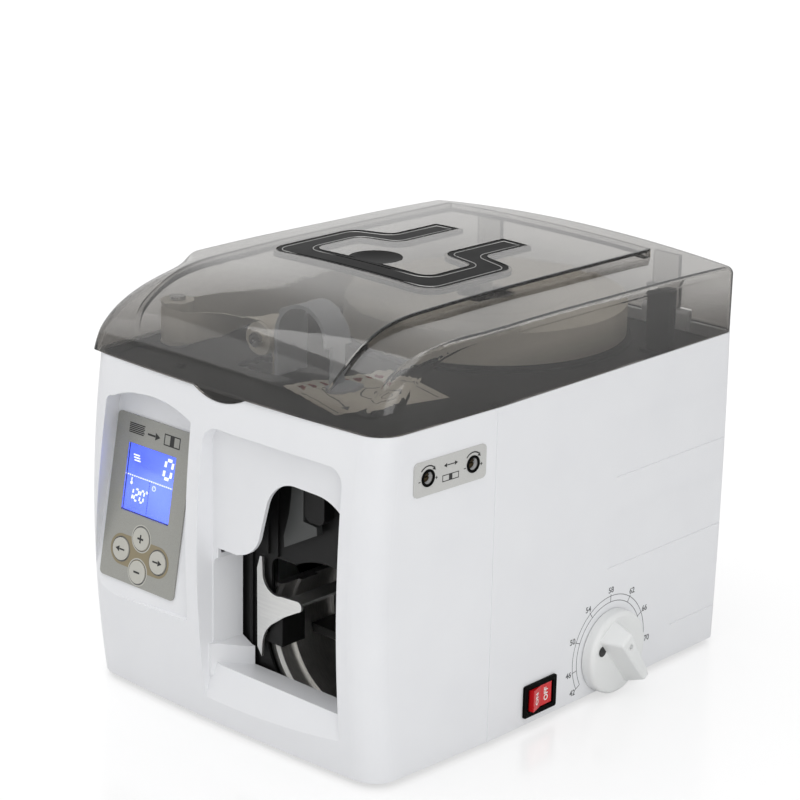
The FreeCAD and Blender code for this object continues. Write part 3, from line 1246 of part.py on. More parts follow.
def weld_tongue():
    """Pale bent sheet: an upright flange, a tapering tongue, its shelf and its fixing tab."""
    y0, t = APRON_Y - 3.6, 1.6
    edges = [Part.LineSegment(V(8.3, y0, 40.5), V(8.6, y0, 47)),
             Part.Arc(V(8.6, y0, 47), V(11.6, y0, 57.6), V(18.9, y0, 65)),
             Part.LineSegment(V(18.9, y0, 65), V(26.5, y0, 70.7)),
             Part.LineSegment(V(26.5, y0, 70.7), V(38.2, y0, 77.3)),
             Part.Arc(V(38.2, y0, 77.3), V(41, y0, 81.0), V(37.6, y0, 83.9)),
             Part.LineSegment(V(37.6, y0, 83.9), V(24, y0, 83.0)),
             Part.Arc(V(24, y0, 83.0), V(13.6, y0, 84.6), V(8.8, y0, 92)),
             Part.LineSegment(V(8.8, y0, 92), V(8.2, y0, 103.8)),
             Part.LineSegment(V(8.2, y0, 103.8), V(6.6, y0, 103.8)),
             Part.LineSegment(V(6.6, y0, 103.8), V(4.2, y0, 96)),
             Part.LineSegment(V(4.2, y0, 96), V(4.6, y0, 46)),
             Part.LineSegment(V(4.6, y0, 46), V(8.3, y0, 40.5))]
    flange = Part.Face(Part.Wire([e.toShape() for e in edges])).extrude(V(0, t, 0))
    shelf = slab(26, y0, 38, BAND_Y + BAND_W / 2 + 1, 3.0, 79.7, 81.3)
    tab = block(5.2, y0, 56, 6.8, FRAME_FRONT_Y, 72)
    return fused(flange, shelf, tab)


def upper_guide():
    """Grey guide above the channel with a slanted lower edge."""
    y0, y1 = APRON_Y - 8.4, APRON_Y - 3.8
    points = [(38.5, 170), (36.8, 149.7), (35.3, 139), (31, 124.3), (31.6, 117.5), (57.9, 131.8),
              (57.4, 136.6), (46.8, 137.4), (46.8, 170)]
    blade = prism([V(x, y0, z) for x, z in points], V(0, y1 - y0, 0))
    shelf = block(39.5, y1 - 0.1, 150, 46.5, APRON_Y, 168)
    return blade.fuse(shelf)


def press_head():
    """Black press shoe on a toothed bar; it comes down on the notes."""
    y0, y1 = BAND_Y - 8.5, BAND_Y + 8.5
    shoe = rounded_bar(PRESS_X - 27, PRESS_Z, PRESS_X + 24, PRESS_Z + 12, 4.0, y0, y1)
    stem = block(PRESS_X - 4, BAND_Y - 4, PRESS_Z + 12, PRESS_X + 4 - 1.3, BAND_Y + 4, 188 - 0.5)
    pitch = math.pi * STOP_MODULE
    lean = math.tan(math.radians(20))
    flat = pitch / 4 - 0.17
    root, reach = 1.4, 0.9
    line_x = PRESS_X + 4
    teeth = []
    for k in range(-5, 9):
        z = PRESS_AXIS_Z + (k + 0.5) * pitch
        wide, slim = flat + root * lean, flat - reach * lean
        teeth.append(prism([V(line_x - root, BAND_Y - 4, z - wide), V(line_x - root, BAND_Y - 4, z + wide),
                            V(line_x + reach, BAND_Y - 4, z + slim),
                            V(line_x + reach, BAND_Y - 4, z - slim)], V(0, 8, 0)))
    return fused(shoe, stem, *teeth)


def press_pinion():
    """Steel pinion in mesh with the press head's rack, on its motor shaft."""
    gear = involute_gear(20, STOP_MODULE, 8.0)
    shaft = rod(V(0, -2, 0), EY, 2.5, 24.0)
    shape = gear.fuse(shaft)
    shape.translate(V(press_pinion_x(), BAND_Y - 4, PRESS_AXIS_Z))
    return shape


def press_guide():
    """Bearing block on the rear frame plate that keeps the press bar upright."""
    body = block(PRESS_X - 10, BAND_Y - 8, 176.5, PRESS_X + 11, FRAME_REAR_Y, 183.5)
    slide = block(PRESS_X - 4.4, BAND_Y - 4.4, 170, PRESS_X + 5.3, BAND_Y + 4.4, 190)
    return body.cut(slide)


def gear_motor(x, y, z, radius, length, shaft_r):
    """Round motor with a square gearbox and a bored nose for the shaft."""
    box = block(x - radius, y, z - radius, x + radius, y + 16, z + radius)
    edges = [e for e in box.Edges if abs(e.BoundBox.YLength - 16) < 1e-6]
    box = box.makeFillet(3.0, edges)
    can = rod(V(x, y + 16, z), EY, radius - 2, length - 16)
    tail = rod(V(x, y + length, z), EY, 4.0, 3.0)
    return fused(box, can, tail).cut(rod(V(x, y - 1, z), EY, shaft_r, 15))


def press_motor():
    return gear_motor(press_pinion_x(), FRAME_REAR_Y + FRAME_T, PRESS_AXIS_Z, 16.0, 58.0, 2.56)


def feed_motor():
    """The band motor, held off the frame plate by two spacers beside its gear."""
    y0, stand = FRAME_REAR_Y + FRAME_T, 10.0
    motor = gear_motor(motor_x(), y0 + stand, FEED_Z, 16.0, 56.0, 2.56)
    spacers = [rod(V(motor_x() + 12.5, y0, FEED_Z + dz), EY, 2.5, stand) for dz in (-12.5, 12.5)]
    return motor.fuse(spacers)


def motor_x():
    return feed_x() + GEAR_MODULE * (FEED_TEETH + MOTOR_TEETH) / 2


def feed_roller():
    """Rubber-covered drive roller with its spur gear behind the frame."""
    y0 = BAND_Y - BAND_W / 2 - 1
    body = rod(V(feed_x(), y0, FEED_Z), EY, FEED_R, BAND_W + 2)
    grooves = [tube(V(feed_x(), y0 + d, FEED_Z), EY, FEED_R + 1, FEED_R - 0.6, 1.0)
               for d in (5.0, 10.5, 16.0)]
    return body.cut(grooves).cut(rod(V(feed_x(), y0 - 1, FEED_Z), EY, 3.0, BAND_W + 4))


def feed_shaft():
    y0 = FRAME_FRONT_Y + 0.4
    shaft = rod(V(feed_x(), y0, FEED_Z), EY, 3.0, -64.0 - y0)
    return shaft


def feed_gear():
    gear = involute_gear(FEED_TEETH, GEAR_MODULE, 6.0, 3.0)
    holes = []
    for k in range(5):
        a = math.radians(72 * k)
        holes.append(rod(V(13 * math.sin(a), -1, 13 * math.cos(a)), EY, 4.0, 8))
    gear = gear.cut(holes)
    gear.translate(V(feed_x(), FRAME_REAR_Y + FRAME_T + 2, FEED_Z))
    return gear


def motor_pinion():
    gear = involute_gear(MOTOR_TEETH, GEAR_MODULE, 6.0)
    gear.rotate(V(0, 0, 0), EY, 180.0 / MOTOR_TEETH)
    shaft = rod(V(0, 0, 0), EY, 2.5, 20.0)
    shape = gear.fuse(shaft)
    shape.translate(V(motor_x(), FRAME_REAR_Y + FRAME_T + 2, FEED_Z))
    return shape


def pinch_roller():
    y0 = BAND_Y - BAND_W / 2 - 1
    body = rod(V(pinch_x(), y0, FEED_Z), EY, FEED_R, BAND_W + 2)
    shaft = rod(V(pinch_x(), FRAME_FRONT_Y + 0.4, FEED_Z), EY, 3.0,
                FRAME_REAR_Y + FRAME_T + 0.8 - FRAME_FRONT_Y)
    return body.fuse(shaft)


def heater_block():
    """Finned block that welds the band against the tongue from below."""
    y0, y1 = BAND_Y - 7, BAND_Y + 7
    core = block(30, y0, 63, 50, y1, 74)
    fins = [block(30 + 4.4 * k, y0, 57, 32.4 + 4.4 * k, y1, 63) for k in range(5)]
    stem = rod(V(40, BAND_Y, 44.5), EZ, 3.0, 19)
    return fused(core, stem, *fins)


def cutter_blade():
    """Thin blade beside the heater with a slanted edge."""
    y0, y1 = BAND_Y - 11, BAND_Y + 11
    x = 56.0
    blade = prism([V(x, y0, 54), V(x, y1, 54), V(x, y1, 72), V(x, y0, 76)], V(1.2, 0, 0))
    holder = block(x - 1.9, BAND_Y - 6, 45, x + 3.1, BAND_Y + 6, 58)
    return blade.fuse(holder)


def jaw_guide():
    """Bridge across the ring, bored for the heater's stem and slotted for the cutter."""
    front_y = BAND_Y - 9.5
    body = block(4, front_y, 47, 64, FRAME_REAR_Y, 52)
    body = body.common(rod(V(TRACK_X, front_y - 1, TRACK_Z), EY, TRACK_R, 40))
    bore = rod(V(40, BAND_Y, 40), EZ, 3.06, 30)
    slot = block(53.8, BAND_Y - 6.3, 40, 59.4, BAND_Y + 6.3, 60)
    return body.cut([bore, slot])


def main_board():
    """Control board on pillars at the left flank, with its tall parts."""
    x = -108.0
    board = block(x - 1.6, -30, 55, x, 110, 155)
    chips = [block(x, 0, 80, x + 3, 26, 100), block(x, 40, 70, x + 3, 62, 82)]
    relay = block(x, 74, 70, x + 16, 92, 88)
    sink = [block(x, -22 + 5 * k, 110, x + 22, -19.5 + 5 * k, 142) for k in range(5)]
    rail = block(x, -22, 110, x + 3, 0.5, 142)
    caps = [rod(V(x, 40 + 18 * k, 130), EX, 7.0, 20) for k in range(3)]
    return fused(board, relay, rail, *chips, *sink, *caps)


def board_pillars():
    pillars = []
    for y in (-24, 104):
        for z in (61, 149):
            pillars.append(rod(V(-WIDTH / 2 + WALL, y, z), EX, 3.5, WIDTH / 2 - WALL - 109.6))
    return pillars


def transformer():
    """Laminated core with two wound bobbins, on the tray."""
    x, y, z = -66.0, 104.0, 2.5
    core = block(x - 33, y - 14, z, x + 33, y + 14, z + 54)
    windows = [block(x - 22, y - 15, z + 11, x - 11, y + 15, z + 43),
               block(x + 11, y - 15, z + 11, x + 22, y + 15, z + 43)]
    coil = slab(x - 20, y - 23, x + 20, y + 23, 6.0, z + 12, z + 42)
    hollow = block(x - 11, y - 14, z + 11, x + 11, y + 14, z + 43)
    feet = [slab(x + s * 33 - 8, y - 14, x + s * 33 + 8, y + 14, 2.0, z, z + 2) for s in (-1, 1)]
    shape = core.cut(windows)
    return fused(shape, coil.cut(hollow), *feet)


# ------------------------------------------------------------------ output
def nodes():
    return {
        "front_bezel": front_bezel,
        "rear_housing": rear_housing,
        "base_plate": base_plate,
        "rubber_feet": rubber_feet,
        "deck_plate": deck_plate,
        "hinge_pins": hinge_pins,
        "lid": lid,
        "lid_trim": lambda: Part.makeCompound([lid_trim(), lid_dimple_disc()]),
        "reel_spindle": reel_spindle,
        "reel_turntable": reel_turntable,
        "paper_roll": paper_roll,
        "reel_cap": reel_cap,
        "corner_post": corner_post,
        "corner_roller": corner_roller,
        "band_arch": band_arch,
        "guide_axle": guide_axle,
        "guide_roller": guide_roller,
        "paper_band": paper_band,
        "deck_post": deck_post,
        "control_plate": control_plate,
        "display_window": display_window,
        "display_module": display_module,
        "control_board": control_board,
        "plus_button": lambda: button_cap(0),
        "minus_button": lambda: button_cap(1),
        "left_button": lambda: button_cap(2),
        "right_button": lambda: button_cap(3),
        "tension_plate": tension_plate,
        "adjuster_front": lambda: adjuster(-1),
        "adjuster_rear": lambda: adjuster(1),
        "adjuster_block": adjuster_block,
        "rocker_bezel": rocker_bezel,
        "rocker": rocker,
        "dial_knob": dial_knob,
        "dial_shaft": lambda: fused(dial_shaft(), dial_pinion()),
        "note_stop": note_stop,
        "stop_rail": stop_rail,
        "mains_inlet": mains_inlet,
        "frame_front": frame_front,
        "frame_rear": frame_rear,
        "frame_ties": frame_ties,
        "entry_ring": entry_ring,
        "band_track": band_track,
        "front_apron": front_apron,
        "weld_tongue": weld_tongue,
        "upper_guide": upper_guide,
        "press_head": press_head,
        "press_pinion": press_pinion,
        "press_motor": press_motor,
        "feed_motor": feed_motor,
        "feed_roller": lambda: fused(feed_roller(), feed_shaft()),
        "feed_gear": feed_gear,
        "motor_pinion": motor_pinion,
        "pinch_roller": pinch_roller,
        "heater_block": heater_block,
        "cutter_blade": cutter_blade,
        "jaw_guide": jaw_guide,
        "press_guide": press_guide,
        "main_board": lambda: fused(main_board(), *board_pillars()),
        "transformer": transformer,
    }


def build():
    shapes = {}
    for name, make in nodes().items():
        shape = make()
        shape.translate(-ORIGIN)
        shapes[name] = shape
    return shapes


def main():
    os.makedirs("parts", exist_ok=True)
    for name, shape in build().items():
        shape.exportStep(os.path.join("parts", name + ".step"))
        box = shape.BoundBox
        print(name, len(shape.Solids), shape.isValid(), round(shape.Volume, 1),
              [round(v, 1) for v in (box.XMin, box.YMin, box.ZMin, box.XMax, box.YMax, box.ZMax)])


if __name__ == "__main__":
    main()
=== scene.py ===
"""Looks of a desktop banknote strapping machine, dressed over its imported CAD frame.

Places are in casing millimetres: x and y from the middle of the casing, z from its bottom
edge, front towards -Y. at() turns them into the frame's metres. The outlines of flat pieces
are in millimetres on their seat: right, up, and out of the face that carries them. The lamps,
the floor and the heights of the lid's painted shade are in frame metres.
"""
import json
import math

import bpy
from mathutils import Matrix, Vector


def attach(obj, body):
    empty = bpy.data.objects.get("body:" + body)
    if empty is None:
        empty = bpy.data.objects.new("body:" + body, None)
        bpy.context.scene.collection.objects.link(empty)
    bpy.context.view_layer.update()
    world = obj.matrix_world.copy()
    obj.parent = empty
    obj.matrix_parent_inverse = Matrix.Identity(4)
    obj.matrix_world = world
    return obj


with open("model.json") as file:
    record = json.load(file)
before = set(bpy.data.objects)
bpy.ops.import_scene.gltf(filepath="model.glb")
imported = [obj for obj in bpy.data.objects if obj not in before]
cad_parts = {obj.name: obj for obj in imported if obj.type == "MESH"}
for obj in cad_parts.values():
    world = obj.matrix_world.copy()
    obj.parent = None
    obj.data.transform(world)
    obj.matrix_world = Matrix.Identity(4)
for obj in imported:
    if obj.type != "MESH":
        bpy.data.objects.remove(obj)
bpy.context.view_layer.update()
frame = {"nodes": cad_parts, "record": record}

MM = 0.001
WHITE = (1, 1, 1, 1)
CASING_ORIGIN = Vector((11.5, -2.54, -3.0))  # the frame's origin, in casing millimetres

# ---- thickness of prints and thin rings ----
INK, DISPLAY_INK, BOLD_INK, WORD_INK = 0.05, 0.06, 0.08, 0.1
COLLAR_THICK, KEY_RING_THICK, LABEL_THICK = 0.09, 0.12, 0.15
# painted shade: a black ring round each adjuster hole stands for the shaded inside of a wider hole
HOLE_SHADE_THICK, HOLE_SHADE_BEVEL = 0.35, 0.12
LETTER_SWELL = 0.02  # how far letters are fattened, against their size

# ---- control panel, leaning back in its recess; outlines start at its foot ----
PANEL_LEAN = math.radians(10.0)
PANEL_FOOT = (-74.3, -163.6, 59.6)
PLATE_FRONT, KEY_FRONT, DISPLAY_FRONT = 1.0, 1.9, -1.35
KEY_R = 7.1
KEY_HOLE_R, COLLAR_R = KEY_R + 0.4, KEY_R + 1.5
KEY_RING_OUT, KEY_RING_IN = KEY_R + 0.75, KEY_R + 0.38
KEY_PLACES = {"plus": (0, 38.4), "minus": (0, 17.6), "left": (-16.5, 28), "right": (16.5, 28)}
CAPSULE_HALF, CAPSULE_R, CAPSULE_Y = 26.0, 9.6, 28.0
GLASS_W, GLASS_LOW, GLASS_H = 42.2, 51.9, 42.0
HEADING_Y = GLASS_LOW + GLASS_H + 8.2
SEGMENTS = {"0": "abcdef", "1": "bc", "2": "abged"}
DIGIT_SLANT, SEGMENT_GAP = 0.12, 0.6
COUNT_DIGIT = {"wide": 6.0, "tall": 11.5, "stroke": 1.9}
SETTING_DIGIT = {"wide": 3.2, "tall": 7.2, "stroke": 1.1}

# ---- signs ----
HEAD_SPREAD = 0.55  # half the width of an arrowhead against its length
ARROW_GAP = 0.2  # keeps the shaft's outline clear of the head's

# ---- side controls; dial marks are (degrees, number) ----
FLANK_X = 125.0
# the knob's set-screw hole is painted shade: a flat black disc
KNOB_HOLE_AT, KNOB_HOLE_R = (133.8, 29.9, 31.1), 3.4
DIAL_AT = (FLANK_X, 47.0, 25.0)
DIAL_MARKS = ((209, 42), (189, 46), (157, 50), (124, 54), (90, 58), (57, 62), (26, 66), (-6, 70))
RING_INNER, RING_OUTER, NUMBER_R = 31.3, 35.2, 39.0
DIAL_LINE, TICK_OVER, NUMBER_SIZE = 0.4, 1.0, 5.2
TENSION_AT, TENSION_FRONT = (122.65, -103.2, 178.0), 0.8
TENSION_TAPER = math.radians(3.0)
# the black rings round the adjuster holes are painted shade
TENSION_SPREAD, HOLE_SHADE_OUT, HOLE_SHADE_IN = 17.8, 5.0, 3.6
ROCKER_AT = (FLANK_X, -19.5, 15.0)
ROCKER_PIVOT, ROCKER_TILT = -4.0, math.radians(9.0)
ROCKER_VALLEY, ROCKER_TIP, ROCKER_HALF = 0.9, 2.4, 10.1
WORD_SIZE = 5.0

# ---- deck and lid ----
DECK_TOP = 201.0
LABEL_AT, LABEL_TURN, LABEL_SIZE = (0.0, -112.0, DECK_TOP), math.radians(16), (62, 74)
DECK_SCREWS = ((-112, -62), (-112, 118), (108, -50), (70, -112), (-70, -128))
SCREW_R = 3.0
SCREW_HEAD, SCREW_BEVEL = 0.45 * SCREW_R, 0.12 * SCREW_R
SCREW_CROSS_ARM, SCREW_CROSS_HALF = 0.62 * SCREW_R, 0.2 * SCREW_R
ABOVE_LID = 300.0
LID_SHADED_BELOW, LID_UNSHADED_ABOVE = 0.205, 0.240  # frame metres: painted shade below, none above
TRIM_X, TRIM_FRONT, TRIM_TAIL = -4.0, -57.0, 65.0
TRIM_WIDE, TRIM_NARROW, TRIM_BAND = 67.0, 38.0, 20.0
TRIM_FRONT_R = (14, 9)  # corner radii of the outer and the inner edge
TRIM_OUTER_BEND, TRIM_OUTER_R = (18, 24), (11, 7)  # y and radius of an edge's two bends
TRIM_INNER_BEND, TRIM_INNER_R = (3, 8), (6, 11)
WIRE_INSET, WIRE_R, WIRE_LIFT = 3.7, 0.28, 0.5

# ---- stage, in frame metres; lamps are (place, size, watts) ----
LAMP_AIM = (0, 0, 0.12)
LAMPS = {
    "lamp_above": ((-0.2, -0.3, 1.6), (1.6, 1.2), 12.5),
    "lamp_left": ((-1.5, -1.3, 0.8), (1.0, 1.2), 2.5),
    "lamp_right": ((1.65, -0.9, 0.7), (1.2, 1.2), 8.8),
}
SURROUND_LIGHT, SURROUND_SEEN = 0.62, 1.0
FLOOR_HALF, FLOOR_GLOW = 6.0, 0.62

# ---- camera ----
CAMERA_AT = (978.40, -1080.26, 636.54)
CAMERA_AZIMUTH, CAMERA_ELEVATION, CAMERA_ROLL = 42.47, 17.84, 1.19
CAMERA_LENS, CAMERA_SENSOR = 111.43, 36.0


def at(x, y, z):
    """Casing millimetres to frame metres."""
    return (Vector((x, y, z)) - CASING_ORIGIN) * MM


def srgb(red, green, blue):
    """A 0 to 255 display colour as the linear RGBA that a shader takes."""
    def linear(value):
        value /= 255
        return value / 12.92 if value <= 0.04045 else ((value + 0.055) / 1.055) ** 2.4
    return (linear(red), linear(green), linear(blue), 1.0)


# ------------------------------------------------------------------ materials
def add_node(tree, kind, inputs=(), **settings):
    """A new shader node; inputs are (socket, value or output) pairs."""
    node = tree.nodes.new("ShaderNode" + kind)
    for setting, value in settings.items():
        setattr(node, setting, value)
    for socket, value in inputs:
        if isinstance(value, bpy.types.NodeSocket):
            tree.links.new(value, node.inputs[socket])
        else:
            node.inputs[socket].default_value = value
    return node


class Look:
    """One procedural material: a Principled shader fed by textures in object space."""

    def __init__(self, name, **sockets):
        self.material = bpy.data.materials.new(name)
        self.material.use_nodes = True
        self.tree = self.material.node_tree
        self.shader = self.tree.nodes["Principled BSDF"]
        self.place = self.add("TexCoord").outputs["Object"]
        for socket, value in sockets.items():
            self.shader.inputs[socket.replace("_", " ")].default_value = value

    def add(self, kind, inputs=(), **settings):
        return add_node(self.tree, kind, inputs, **settings)

    def stretched(self, scale):
        """The texture place, scaled unevenly, for brushed and streaked finishes."""
        return self.add("Mapping", [("Vector", self.place), ("Scale", scale)]).outputs["Vector"]

    def noise(self, scale, detail=2.0, vector=None):
        return self.add("TexNoise", [("Vector", vector or self.place), ("Scale", scale),
                                     ("Detail", detail)]).outputs["Fac"]

    def ramp(self, value, low, high):
        """The value with its contrast raised between low and high."""
        return self.add("MapRange", [("Value", value), ("From Min", low),
                                     ("From Max", high)]).outputs["Result"]

    def colour(self, value, dark, light):
        """Base colour from dark to light by the value; gives back the mixed colour."""
        mix = self.add("Mix", [("Factor", value)], data_type="RGBA")
        for socket in mix.inputs:
            if socket.type == "RGBA" and socket.name == "A":
                socket.default_value = dark
            elif socket.type == "RGBA" and socket.name == "B":
                socket.default_value = light
        tint = next(out for out in mix.outputs if out.type == "RGBA")
        self.tree.links.new(tint, self.shader.inputs["Base Color"])
        return tint

    def roughness(self, value, low, high):
        spread = self.add("MapRange", [("Value", value), ("To Min", low), ("To Max", high)])
        self.tree.links.new(spread.outputs["Result"], self.shader.inputs["Roughness"])

    def bump(self, height, depth, strength):
        node = self.add("Bump", [("Height", height), ("Distance", depth), ("Strength", strength)])
        self.tree.links.new(node.outputs["Normal"], self.shader.inputs["Normal"])

    def emission(self, tint, strength):
        self.tree.links.new(tint, self.shader.inputs["Emission Color"])
        self.shader.inputs["Emission Strength"].default_value = strength


def moulded(name, dark, light, rough, depth=0.00002, **sockets):
    """Moulded plastic: cloudy colour, uneven gloss and a fine skin."""
    look = Look(name, **sockets)
    look.colour(look.noise(scale=28.0, detail=4.0), dark, light)
    look.roughness(look.noise(scale=60.0, detail=3.0), rough - 0.05, rough + 0.05)
    look.bump(look.noise(scale=900.0), depth, strength=0.6)
    return look.material


def brushed(name, dark, light, rough, scale):
    """Metal with fine streaks; the scale is larger across the streaks than along them."""
    look = Look(name, Metallic=1.0)
    streaks = look.noise(scale=1.0, detail=6.0, vector=look.stretched(scale))
    look.colour(streaks, dark, light)
    look.roughness(streaks, rough - 0.08, rough + 0.10)
    look.bump(streaks, depth=0.00002, strength=0.5)
    return look.material


def smoky_lid():
    """Clear smoky plastic that darkens with thickness, with painted shade towards its skirt: its
    lower part is darker in colour.
    """
    look = Look("smoky_plastic", Transmission_Weight=0.985, IOR=1.49, Specular_IOR_Level=0.5)
    height = look.add("SeparateXYZ", [("Vector", look.place)]).outputs["Z"]
    # painted shade: the colour is darker low on the lid, standing in for its darker lower edges
    look.colour(look.ramp(height, LID_SHADED_BELOW, LID_UNSHADED_ABOVE), srgb(160, 157, 153), WHITE)
    look.roughness(look.noise(scale=35.0, detail=3.0), low=0.015, high=0.05)
    smoke = look.add("VolumeAbsorption", [("Color", srgb(150, 145, 138)), ("Density", 250.0)])
    output = look.tree.nodes["Material Output"]
    look.tree.links.new(smoke.outputs["Volume"], output.inputs["Volume"])
    return look.material


def tinted_window():
    """Clear display window with a trace of blue."""
    look = Look("display_window", Transmission_Weight=1.0, IOR=1.45)
    look.colour(look.noise(scale=40.0), (0.93, 0.94, 1, 1), WHITE)
    look.roughness(look.noise(scale=90.0), low=0.02, high=0.06)
    return look.material


def lit_cell():
    """Backlit display cell with soft bright clouds."""
    look = Look("display_cell", Roughness=0.4)
    cloud = look.ramp(look.noise(scale=32.0, detail=1.0), low=0.3, high=0.7)
    look.emission(look.colour(cloud, srgb(88, 112, 236), srgb(120, 146, 250)), strength=0.85)
    return look.material


def silver_film(name, dark, light):
    """Silver-grey printed film with a fine sparkle."""
    look = Look(name, Metallic=0.25)
    look.colour(look.noise(scale=2200.0, detail=1.0), dark, light)
    look.roughness(look.noise(scale=140.0, detail=3.0), low=0.36, high=0.5)
    look.bump(look.noise(scale=1800.0, detail=1.0), depth=0.00001, strength=0.5)
    return look.material


def paper_strip():
    """Off-white paper with faint fibres."""
    look = Look("paper_strip", Roughness=0.8)
    fibres = look.noise(scale=1.0, detail=5.0, vector=look.stretched((300, 300, 2600)))
    look.colour(fibres, srgb(206, 198, 184), srgb(228, 223, 212))
    look.bump(fibres, depth=0.00004, strength=0.5)
    return look.material


def printed_ink(name, ink):
    """Ink with a slightly uneven film."""
    look = Look(name)
    shade = tuple(channel * 0.8 for channel in ink[:3]) + (1.0,)
    look.colour(look.noise(scale=800.0), shade, ink)
    look.roughness(look.noise(scale=300.0), low=0.35, high=0.55)
    return look.material


def glowing_ink():
    """White of the lit digits and signs in the display."""
    look = Look("display_white")
    tint = look.colour(look.noise(scale=500.0), srgb(238, 242, 255), srgb(255, 255, 255))
    look.emission(tint, strength=0.9)
    return look.material


def circuit_board():
    """Green solder mask with a faint grid of traces."""
    look = Look("circuit_board", Roughness=0.35)
    traces = look.add("TexBrick", [("Vector", look.stretched((160, 160, 160))), ("Scale", 1.0),
                                   ("Mortar Size", 0.03)]).outputs["Fac"]
    look.colour(traces, srgb(16, 74, 40), srgb(44, 118, 66))
    look.bump(traces, depth=0.00005, strength=0.4)
    return look.material


def make_materials():
    """One material per finish of the record, by slot name, and the bright trim wire."""
    return {
        "white_gloss": moulded("white_shell", srgb(226, 227, 230), srgb(232, 233, 235), 0.34),
        "smoke_clear": smoky_lid(),
        "black_gloss": moulded("polished_black", srgb(4, 4, 4), srgb(8, 8, 8), 0.4,
                               depth=0.000005, Specular_IOR_Level=0.03),
        "black_matt": moulded("black_moulding", srgb(15, 15, 15), srgb(22, 22, 22), 0.45,
                              Specular_IOR_Level=0.25),
        "grey_plastic": moulded("grey_moulding", srgb(58, 60, 60), srgb(70, 71, 70), 0.42),
        "silver_plate": silver_film("silver_film", srgb(140, 140, 134), srgb(166, 166, 161)),
        "display_blue": tinted_window(),
        "display_cell": lit_cell(),
        "key_grey": moulded("key_face", srgb(176, 175, 167), srgb(190, 189, 181), 0.42),
        "red_gloss": moulded("rocker_red", srgb(196, 18, 26), srgb(214, 28, 34), 0.22),
        "knob_white": moulded("knob_white", srgb(222, 224, 224), srgb(231, 232, 231), 0.38),
        "steel": brushed("turned_steel", (0.42, 0.42, 0.43, 1), (0.62, 0.62, 0.62, 1), 0.28,
                         (400, 60, 400)),
        # the mechanism's sheet metal, made nearly black
        "zinc_sheet": brushed("nearly_black_sheet", (0.035, 0.035, 0.036, 1),
                              (0.07, 0.07, 0.07, 1), 0.42, (90, 90, 600)),
        "cast_track": brushed("polished_track", (0.5, 0.49, 0.47, 1), (0.78, 0.77, 0.75, 1), 0.4,
                              (200, 1400, 200)),
        "pale_sheet": brushed("satin_sheet", (0.66, 0.66, 0.65, 1), (0.82, 0.82, 0.8, 1), 0.42,
                              (60, 500, 700)),
        "brass": brushed("aged_brass", (0.05, 0.038, 0.022, 1), (0.16, 0.12, 0.07, 1), 0.35,
                         (500, 60, 500)),
        "rubber": moulded("black_rubber", srgb(18, 18, 18), srgb(30, 30, 30), 0.75,
                          depth=0.00006),
        "paper": paper_strip(),
        "board_green": circuit_board(),
        "motor_metal": brushed("plated_can", (0.3, 0.31, 0.33, 1), (0.45, 0.46, 0.48, 1), 0.35,
                               (80, 500, 500)),
        "silver_line": brushed("bright_wire", (0.3, 0.3, 0.29, 1), (0.5, 0.5, 0.49, 1), 0.3,
                               (300, 300, 300)),
        "nylon": moulded("natural_nylon", srgb(214, 208, 196), srgb(228, 224, 214), 0.5),
    }


finish = make_materials()
ink_black = printed_ink("ink_black", srgb(26, 26, 26))
ink_grey = printed_ink("ink_grey", srgb(96, 98, 100))
ink_olive = printed_ink("ink_olive", srgb(142, 131, 104))
ink_red = printed_ink("ink_red", srgb(150, 52, 46))
ink_white = printed_ink("ink_white", srgb(244, 244, 240))
glow_white = glowing_ink()


def dress_cad():
    """Every CAD node takes the material of its record slot, but for two with looks of their own."""
    pale_film = silver_film("pale_film", srgb(184, 184, 181), srgb(206, 206, 204))
    frosted = moulded("frosted_guide", srgb(170, 174, 180), srgb(186, 189, 194), 0.3)
    own_looks = {"tension_plate": pale_film, "band_arch": frosted}
    for part in frame["record"]["subparts"]:
        materials = frame["nodes"][part["node"]].data.materials
        materials.clear()
        materials.append(own_looks.get(part["node"], finish[part["material_slot"]]))


# ------------------------------------------------------------------ outlines
def polar(radius, degrees):
    """Point at a radius and an angle round (0, 0)."""
    a = math.radians(degrees)
    return radius * math.cos(a), radius * math.sin(a)


def moved(outlines, x, y):
    """The same outlines, shifted by (x, y)."""
    return [[(x + px, y + py) for px, py in outline] for outline in outlines]


def repeated(outlines, count, x, y):
    """The outlines count times over, each time shifted on by (x, y)."""
    return [outline for k in range(count) for outline in moved(outlines, k * x, k * y)]


def circle(radius, steps=48):
    return [polar(radius, 360 * k / steps) for k in range(steps)]


def ring(outer, inner, x=0.0, y=0.0):
    """Disc of the outer radius with a hole of the inner one."""
    return moved([circle(outer), circle(inner)], x, y)


def arc_band(radius, width, start, end, steps):
    """Bent stripe from start to end degrees."""
    angles = [start + (end - start) * k / steps for k in range(steps + 1)]
    return ([polar(radius + width / 2, a) for a in angles]
            + [polar(radius - width / 2, a) for a in reversed(angles)])


def box(x0, y0, x1, y1):
    return [(x0, y0), (x1, y0), (x1, y1), (x0, y1)]


def bar(x0, y0, x1, y1, width):
    """Straight stroke between two points."""
    start, end = Vector((x0, y0)), Vector((x1, y1))
    along = (end - start).normalized() * width / 2
    side = Vector((-along.y, along.x))
    return [tuple(start + side), tuple(start - side), tuple(end - side), tuple(end + side)]


def cross_outline(arm, half):
    """Upright cross, as in a plus sign or a screw recess."""
    turn = [(-arm, -half), (-half, -half), (-half, -arm), (half, -arm), (half, -half), (arm, -half)]
    return turn + [(-x, -y) for x, y in turn]


def capsule(half_length, radius, y, steps=16):
    """Lying capsule, centred on x = 0."""
    outline = []
    for side in (1, -1):
        end = [polar(radius, 180 * k / steps - 90 * side) for k in range(steps + 1)]
        outline += moved([end], side * (half_length - radius), y)[0]
    return outline


